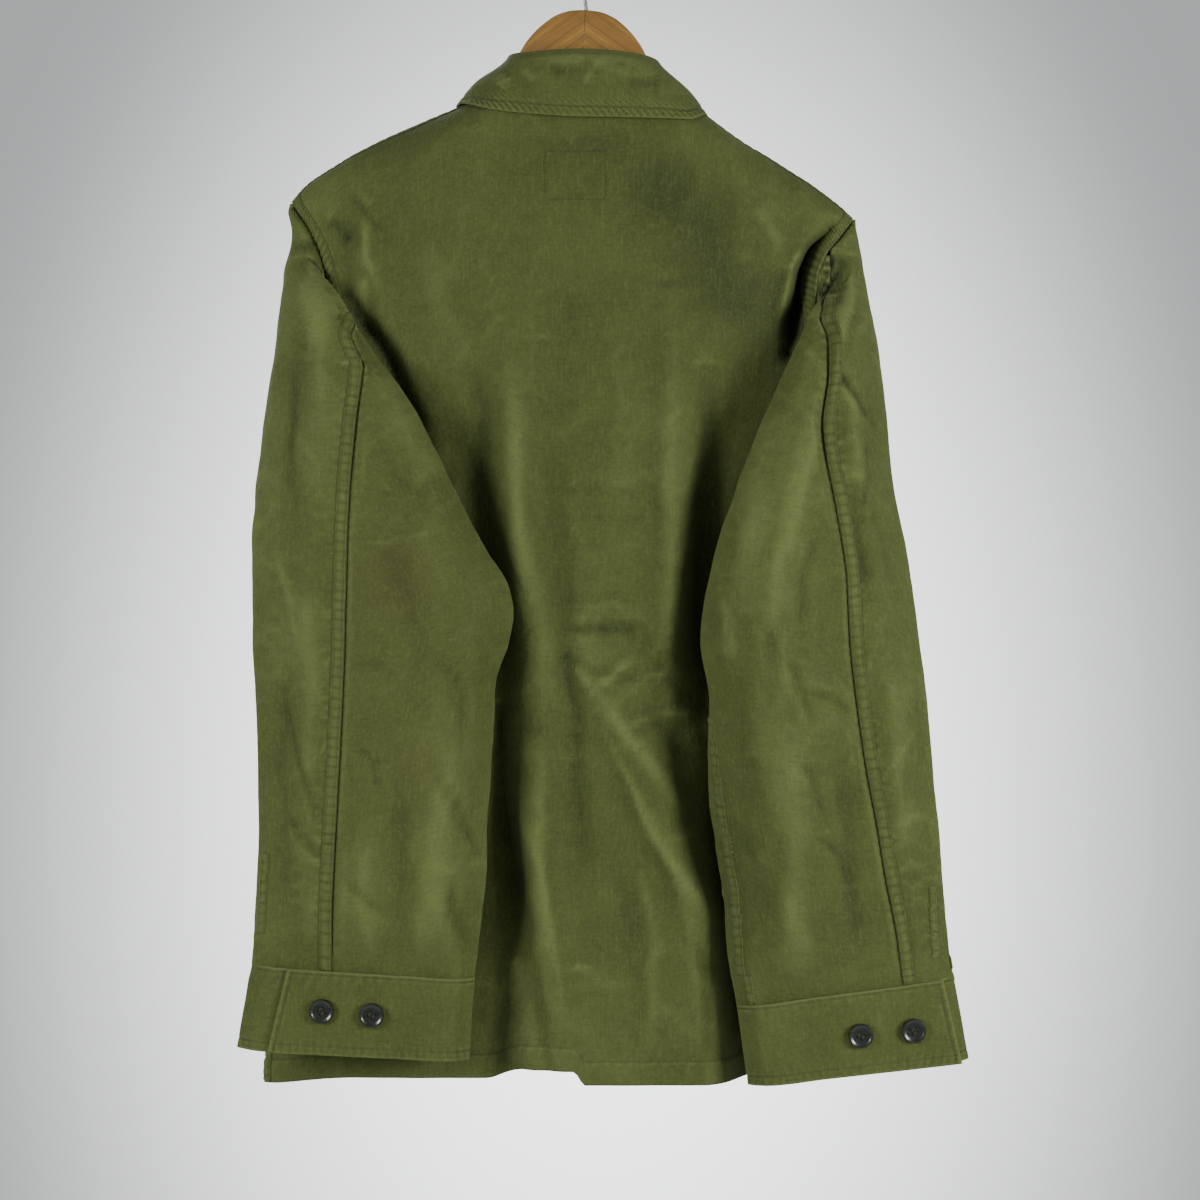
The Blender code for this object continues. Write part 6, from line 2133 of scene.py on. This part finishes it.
@dataclass
class JacketCollar:
    """The collar's stand and fall, with a stitched edge whose puckers run like a rope."""

    finishes: Finishes
    wall: float = 0.0017
    stitch_inset: float = 0.0076

    def build(self) -> list[bpy.types.Object]:
        """Builds the collar.

        Returns:
            Every piece made.
        """
        creases = Creases(
            (
                Crease(((0.004, -0.104), (-0.004, -0.112), (-0.010, -0.124)), 0.0050, -0.0009),
                Crease(((-0.012, -0.106), (-0.004, -0.122), (-0.001, -0.130)), 0.0040, 0.0009),
                Crease(((0.046, -0.112), (0.038, -0.126)), 0.0050, 0.0006),
                Crease(((0.030, -0.114), (-0.004, -0.117)), 0.0100, -0.0014),
                Crease(((0.058, -0.118), (0.066, -0.128)), 0.0070, 0.0012),
                Crease(((-0.030, -0.124), (-0.060, -0.126)), 0.0080, -0.0012),
                Crease(((-0.024, -0.108), (-0.040, -0.118)), 0.0060, -0.0006),
                Crease(((0.030, -0.112), (0.016, -0.120)), 0.0070, -0.0006),
            )
        )
        relief = Relief(
            facing_back=creases,
            crumpling=0.35,
            rubbing_and_hollow_shade=9.0,
            rubbed_edges=0.7,
            seed=9.0,
            sewn=(Edge.TOP,),
            puckers=(
                Pucker(Edge.BOTTOM, centre=0.0036, reach=0.0036, height=0.0010, pitch=0.0056, slant=0.9),
                Pucker(Edge.BOTTOM, centre=0.0110, reach=0.0034, height=0.0006, pitch=0.0056, slant=0.0),
                Pucker(Edge.START, centre=0.0040, reach=0.0045, height=0.0006, pitch=0.0062),
                Pucker(Edge.END, centre=0.0040, reach=0.0045, height=0.0006, pitch=0.0062),
            ),
            grooves=(Groove(Edge.BOTTOM, self.stitch_inset, depth=0.0006, half_width=0.0011),),
        )
        columns = spaced((0.0, 1.0, 330))
        rows = spaced((0.0, 0.40, 8), (0.40, 0.62, 12), (0.62, 0.85, 10), (0.85, 1.0, 15))
        grid = ClothGrid(CollarForm().surface, columns, rows, 1.0, relief)
        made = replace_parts(panel("collar_fall", grid, self.wall, self.finishes.cotton), "collar")
        tracks = (
            edge_track(grid, Edge.BOTTOM, self.stitch_inset, 0.02, 0.98, 400),
            edge_track(grid, Edge.START, 0.0060, 0.55, 0.90),
            edge_track(grid, Edge.END, 0.0060, 0.55, 0.90),
        )
        sewn = [sew(f"collar_thread_{k}", track, self.finishes.thread) for k, track in enumerate(tracks, 1)]
        declare_cloth(made, grid)
        return [made, *sewn]


@dataclass
class HornButtons:
    """The jacket's buttons: a dished face in a raised rim, four holes and the thread through them."""

    finishes: Finishes
    radius: float = 0.00925
    thickness: float = 0.0034
    rim: float = 0.0013
    dish: float = 0.0012
    hole_radius: float = 0.00095
    hole_spread: float = 0.0036

    def button(self) -> bpy.types.Mesh:
        """One button, face up at the origin, with its holes cut.

        Returns:
            The mesh, which the places share copies of.
        """
        profile = (
            (0.0, self.thickness - self.dish),
            (0.62, self.thickness - self.dish),
            (0.76, self.thickness - 0.75 * self.dish),
            (0.84, self.thickness - 0.1 * self.dish),
            (0.90, self.thickness),
            (0.96, self.thickness - 0.15 * self.dish),
            (1.00, self.thickness - 0.9 * self.dish),
            (1.00, 0.5 * self.thickness),
            (0.90, 0.12 * self.thickness),
            (0.60, 0.0),
            (0.0, 0.0),
        )
        bm = bmesh.new()
        verts = [bm.verts.new((share * self.radius, 0.0, z)) for share, z in profile]
        edges = [bm.edges.new(pair) for pair in zip(verts, verts[1:])]
        bmesh.ops.spin(
            bm, geom=verts + edges, cent=(0, 0, 0), axis=(0, 0, 1), angle=2.0 * math.pi, steps=40, use_merge=True
        )
        bmesh.ops.remove_doubles(bm, verts=bm.verts[:], dist=1e-6)
        bmesh.ops.recalc_face_normals(bm, faces=bm.faces[:])
        plain = self.as_object("button_blank", bm)
        cutter = bmesh.new()
        for x, y in ((1, 1), (1, -1), (-1, 1), (-1, -1)):
            place = Matrix.Translation((x * self.hole_spread / 2, y * self.hole_spread / 2, 0.0))
            bmesh.ops.create_cone(
                cutter, cap_ends=True, segments=14, radius1=self.hole_radius, radius2=self.hole_radius,
                depth=4.0 * self.thickness, matrix=place,
            )
        holes = self.as_object("button_holes", cutter)
        cut = plain.modifiers.new("holes", "BOOLEAN")
        cut.operation, cut.object, cut.solver = "DIFFERENCE", holes, "EXACT"
        made = bpy.data.meshes.new_from_object(plain.evaluated_get(bpy.context.evaluated_depsgraph_get()))
        for spare in (plain, holes):
            bpy.data.objects.remove(spare)
        made.materials.clear()
        made.materials.append(self.finishes.horn)
        made.shade_smooth()
        made.set_sharp_from_angle(angle=math.radians(42.0))
        return made

    @staticmethod
    def as_object(name: str, bm: bmesh.types.BMesh) -> bpy.types.Object:
        """A plain object for a step of the making."""
        mesh = bpy.data.meshes.new(name)
        bm.to_mesh(mesh)
        bm.free()
        made = bpy.data.objects.new(name, mesh)
        bpy.context.scene.collection.objects.link(made)
        return made

    def place(self, mesh: bpy.types.Mesh, node: str, seat: Vector, facing: Vector, spin: float) -> list:
        """Sews one button on the cloth.

        Args:
            mesh: The button's mesh.
            node: The node that it stands for.
            seat: The point on the cloth.
            facing: The way its face looks.
            spin: How far it is turned, in radians.

        Returns:
            The button and its thread.
        """
        turn = Vector((0.0, 0.0, 1.0)).rotation_difference(facing).to_matrix().to_4x4()
        place = Matrix.Translation(seat + facing * 0.0004) @ turn @ Matrix.Rotation(spin, 4, "Z")
        own = mesh.copy()
        own.transform(place)
        made = bpy.data.objects.new(f"{node}_horn", own)
        bpy.context.scene.collection.objects.link(made)
        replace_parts(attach(made, "root"), node)
        thread = bmesh.new()
        for side in (-1.0, 1.0):
            for layer, lean in ((0.0, 0.0), (0.00025, 0.10)):
                level = self.thickness - self.dish + 0.0001 + layer
                spot = Matrix.Translation((0.0, side * self.hole_spread / 2, level)) @ Matrix.Rotation(lean, 4, "Z")
                sized = Matrix.Diagonal((self.hole_spread + 0.0008, 0.0006, 0.0006, 1.0))
                bmesh.ops.create_icosphere(thread, subdivisions=2, radius=0.5, matrix=place @ spot @ sized)
        return [made, add_piece(f"{node}_thread", thread, self.finishes.thread)]

    def build(self, body: JacketBody, sleeves: Sequence[JacketSleeve]) -> list[bpy.types.Object]:
        """Places the cuffs' buttons and the front ones.

        Args:
            body: The body, whose left front carries five.
            sleeves: The sleeves, whose cuffs carry two each.

        Returns:
            Every piece made.
        """
        mesh, made = self.button(), []
        for sleeve in sleeves:
            for number in (1, 2):
                node = f"cuff_button_{sleeve.name}_{number}"
                low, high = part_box(node)
                seat, facing = sleeve.cuff.on_top(0.5 * (low[0] + high[0]), 0.5 * (low[2] + high[2]))
                seat = Vector((0.5 * (low[0] + high[0]), max(seat.y, low[1]), 0.5 * (low[2] + high[2])))
                leaned = Vector((0.5 * facing.x, 1.0, 0.5 * facing.z)).normalized()
                made += self.place(mesh, node, seat, leaned, 0.5 * number)
        for number in range(1, 6):
            node = f"front_button_{number}"
            low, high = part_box(node)
            seat = Vector((0.0, high[1], 0.5 * (low[2] + high[2])))
            made += self.place(mesh, node, seat, Vector((0.0, -1.0, 0.0)), 0.4 * number)
        return made


@dataclass
class WoodenHanger:
    """The arched hanger of two mirrored halves, joined at the middle, and its wire hook."""

    finishes: Finishes
    hump_z: float = -0.0602
    tilt: float = math.radians(2.5)
    half_thickness: float = 0.0062
    squareness: float = 0.22
    joint_gap: float = 0.00012
    tip: float = 0.197
    wire_radius: float = 0.0016
    bend_radius: float = 0.0185
    bend_angle: float = math.radians(215.0)
    upper: tuple = (
        (0.0000, 0.0000), (0.0110, 0.0010), (0.0220, 0.0048), (0.0325, 0.0125), (0.0430, 0.0240), (0.0505, 0.0370),
        (0.0545, 0.0500), (0.0600, 0.0635), (0.0660, 0.0760), (0.0780, 0.0840), (0.1000, 0.0895), (0.1500, 0.1150),
        (0.1970, 0.1455),
    )
    lower: tuple = (
        (0.0000, 0.0800), (0.0250, 0.0840), (0.0550, 0.0960), (0.1000, 0.1170), (0.1500, 0.1420), (0.1970, 0.1610),
    )

    def build(self) -> list[bpy.types.Object]:
        """Builds both halves and the hook.

        Returns:
            Every piece made.
        """
        made = [self.half(1.0, "left"), self.half(-1.0, "right"), self.hook()]
        return made

    def half(self, side: float, name: str) -> bpy.types.Object:
        """One half, as a rounded section drawn along the arm.

        Args:
            side: 1 for the wearer's left, -1 for the right.
            name: The side's name.

        Returns:
            The half.
        """
        upper, lower = Profile(self.upper), Profile(self.lower)
        turn = Matrix.Rotation(-self.tilt, 4, "Y")
        steps, around = 120, 40

        def at(j: int, i: int) -> tuple[Vector, tuple[float, float], float]:
            """A point of the half."""
            out = self.joint_gap + (self.tip - self.joint_gap) * (j / steps) ** 0.9
            angle = 2.0 * math.pi * i / around
            across = math.copysign(abs(math.cos(angle)) ** self.squareness, math.cos(angle))
            along = math.copysign(abs(math.sin(angle)) ** self.squareness, math.sin(angle))
            centre, reach = -0.5 * (upper(out) + lower(out)), 0.5 * (lower(out) - upper(out))
            ended = math.sqrt(max(1.0 - max((out - self.tip + 0.008) / 0.008, 0.0) ** 2, 0.0))
            local = Vector((side * out, self.half_thickness * across * (0.35 + 0.65 * ended), centre + reach * along * ended))
            return turn @ local + Vector((0.0, 0.0, self.hump_z)), (out, 0.01 * angle), 0.0

        bm = mapped_grid(around + 1, steps + 1, at, flip=side > 0.0)
        bmesh.ops.remove_doubles(bm, verts=bm.verts[:], dist=1e-6)
        bmesh.ops.holes_fill(bm, edges=[e for e in bm.edges if e.is_boundary], sides=0)
        bmesh.ops.recalc_face_normals(bm, faces=bm.faces[:])
        made = add_piece(f"hanger_half_{name}", bm, self.finishes.beech)
        made.data.set_sharp_from_angle(angle=math.radians(40.0))
        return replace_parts(made, "hanger")

    def hook(self) -> bpy.types.Object:
        """The wire: a straight shank out of the hump, then a bend whose inner top is the origin."""
        centre = Vector((0.0, 0.0, -self.bend_radius + self.wire_radius))

        def on_bend(angle: float) -> Vector:
            """A point of the bend's line."""
            return centre + Vector((math.sin(angle), 0.0, math.cos(angle))) * self.bend_radius

        start, steps = math.radians(118.0), 56
        first = on_bend(start)
        shank = Path(
            [
                Vector((0.0, 0.0, self.hump_z - 0.0170)),
                Vector((0.0, 0.0, self.hump_z + 0.0060)),
                Vector((0.25 * first.x, 0.0, 0.45 * self.hump_z + 0.55 * first.z)),
                first,
            ]
        )
        points = [shank(k / 8.0) for k in range(24)]
        points += [on_bend(start + self.bend_angle * k / steps) for k in range(steps + 1)]
        data = bpy.data.curves.new("hook_wire", "CURVE")
        data.dimensions = "3D"
        data.bevel_depth = self.wire_radius
        data.bevel_resolution = 5
        data.use_fill_caps = True
        spline = data.splines.new("POLY")
        spline.points.add(len(points) - 1)
        for place, point in zip(spline.points, points):
            place.co = (*point, 1.0)
        spline.use_smooth = True
        data.materials.append(self.finishes.steel)
        made = bpy.data.objects.new("hook_wire", data)
        bpy.context.scene.collection.objects.link(made)
        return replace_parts(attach(made, "root"), "hook")


@dataclass
class Studio:
    """The pale floor, the soft lights, the pale surroundings and the camera."""

    finishes: Finishes
    floor_z: float = -1.40
    floor_radius: float = 1.10
    camera_place: tuple[float, float, float] = (-0.0114, 1.65, -0.5214)
    lens: float = 63.2
    glow: tuple[float, float, float] = (0.0, -0.996, -0.089)
    glow_size: tuple[float, float, float] = (0.33, 0.60, 0.52)
    glow_light: float = 4.0
    room_light: float = 0.50

    def build(self) -> None:
        """Builds the stage, the lights and the camera."""
        self.floor()
        self.surroundings()
        self.light("key_light", (-1.30, 1.00, -0.40), (0.0, 0.0, -0.75), 0.6, 35.0)
        self.light("fill_light", (1.30, 1.00, -0.35), (0.0, 0.0, -0.75), 0.6, 27.0)
        self.light("front_light", (0.60, -1.90, 0.50), (0.0, 0.0, -0.50), 1.6, 42.0)
        self.camera()

    def floor(self) -> None:
        """A round matt floor, below the camera's view."""
        bm = bmesh.new()
        bmesh.ops.create_circle(bm, cap_ends=True, radius=self.floor_radius, segments=96)
        bmesh.ops.translate(bm, verts=bm.verts[:], vec=(0.0, 0.0, self.floor_z))
        mesh = bpy.data.meshes.new("studio_floor")
        bm.to_mesh(mesh)
        bm.free()
        mesh.materials.append(self.finishes.floor)
        made = bpy.data.objects.new("studio_floor", mesh)
        bpy.context.scene.collection.objects.link(made)

    def surroundings(self) -> None:
        """A pale grey studio all round, with a glow behind and below the jacket that the camera looks towards."""
        world = bpy.data.worlds.new("studio surroundings")
        bpy.context.scene.world = world
        world.use_nodes = True
        tree = world.node_tree
        way = add_node(tree, "ShaderNodeTexCoord").outputs["Generated"]
        # The glow fades faster sideways than up and down, and is gone a little outside the camera's view
        place = add_node(tree, "ShaderNodeVectorMath", {"operation": "SUBTRACT"}, {0: way, 1: self.glow}).outputs[0]
        spread = add_node(tree, "ShaderNodeVectorMath", {"operation": "DIVIDE"}, {0: place, 1: self.glow_size}).outputs[0]
        apart = add_node(tree, "ShaderNodeVectorMath", {"operation": "LENGTH"}, {0: spread}).outputs["Value"]
        falling = {"interpolation_type": "SMOOTHSTEP"}
        inputs = {"Value": apart, "From Min": 0.0, "From Max": 1.0, "To Min": self.glow_light, "To Max": self.room_light}
        strength = add_node(tree, "ShaderNodeMapRange", falling, inputs).outputs["Result"]
        background = tree.nodes["Background"]
        background.inputs["Color"].default_value = linear("#F8FAFC")
        tree.links.new(strength, background.inputs["Strength"])

    @staticmethod
    def light(name: str, place: tuple, target: tuple, size: float, power: float) -> None:
        """A large soft square light.

        Args:
            name: Its name.
            place: Where it stands.
            target: What it points at.
            size: The length of its side.
            power: Its power in watts.
        """
        data = bpy.data.lights.new(name, "AREA")
        data.shape = "SQUARE"
        data.size = size
        data.energy = power
        made = bpy.data.objects.new(name, data)
        made.location = place
        made.rotation_euler = (Vector(target) - Vector(place)).to_track_quat("-Z", "Y").to_euler()
        bpy.context.scene.collection.objects.link(made)

    def camera(self) -> None:
        """The camera behind the jacket, level and square to it."""
        data = bpy.data.cameras.new("camera")
        data.sensor_width = 36.0
        data.lens = self.lens
        made = bpy.data.objects.new("camera", data)
        made.location = self.camera_place
        made.rotation_euler = (math.radians(90.0), 0.0, math.radians(180.0))
        bpy.context.scene.collection.objects.link(made)
        bpy.context.scene.camera = made


def report(title: str, pieces: Sequence[bpy.types.Object]) -> None:
    """Logs what a sub-assembly is made of."""
    LOG.info("%s: %s", title, ", ".join(piece.name for piece in pieces))


def main() -> None:
    """Builds the jacket, its hanger and the studio."""
    logging.basicConfig(level=logging.INFO, format="%(name)s %(message)s")
    finishes = Finishes()
    body = JacketBody(finishes)
    report("body", body.build())
    sleeves = [
        JacketSleeve(
            finishes, LEFT_SLEEVE, "left", LEFT_SLEEVE_CREASES, mirrored(RIGHT_SLEEVE_CREASES, 0.03), strip_start=-0.302,
            opening=(-0.716, -0.778, 0.2445),
        ),
        JacketSleeve(
            finishes, RIGHT_SLEEVE, "right", RIGHT_SLEEVE_CREASES, mirrored(LEFT_SLEEVE_CREASES, 0.02), strip_start=-0.290,
            opening=(-0.744, -0.800, 0.2660),
            underarm_line=((-0.610, 0.0985), (-0.650, 0.1022), (-0.691, 0.1074), (-0.732, 0.1142), (-0.788, 0.1209),
                           (-0.8155, 0.1270)),
        ),
    ]
    for sleeve in sleeves:
        report(f"sleeve {sleeve.name}", sleeve.build())
    report("collar", JacketCollar(finishes).build())
    report("buttons", HornButtons(finishes).build(body, sleeves))
    report("hanger", WoodenHanger(finishes).build())
    Studio(finishes).build()


if __name__ == "__main__":
    main()
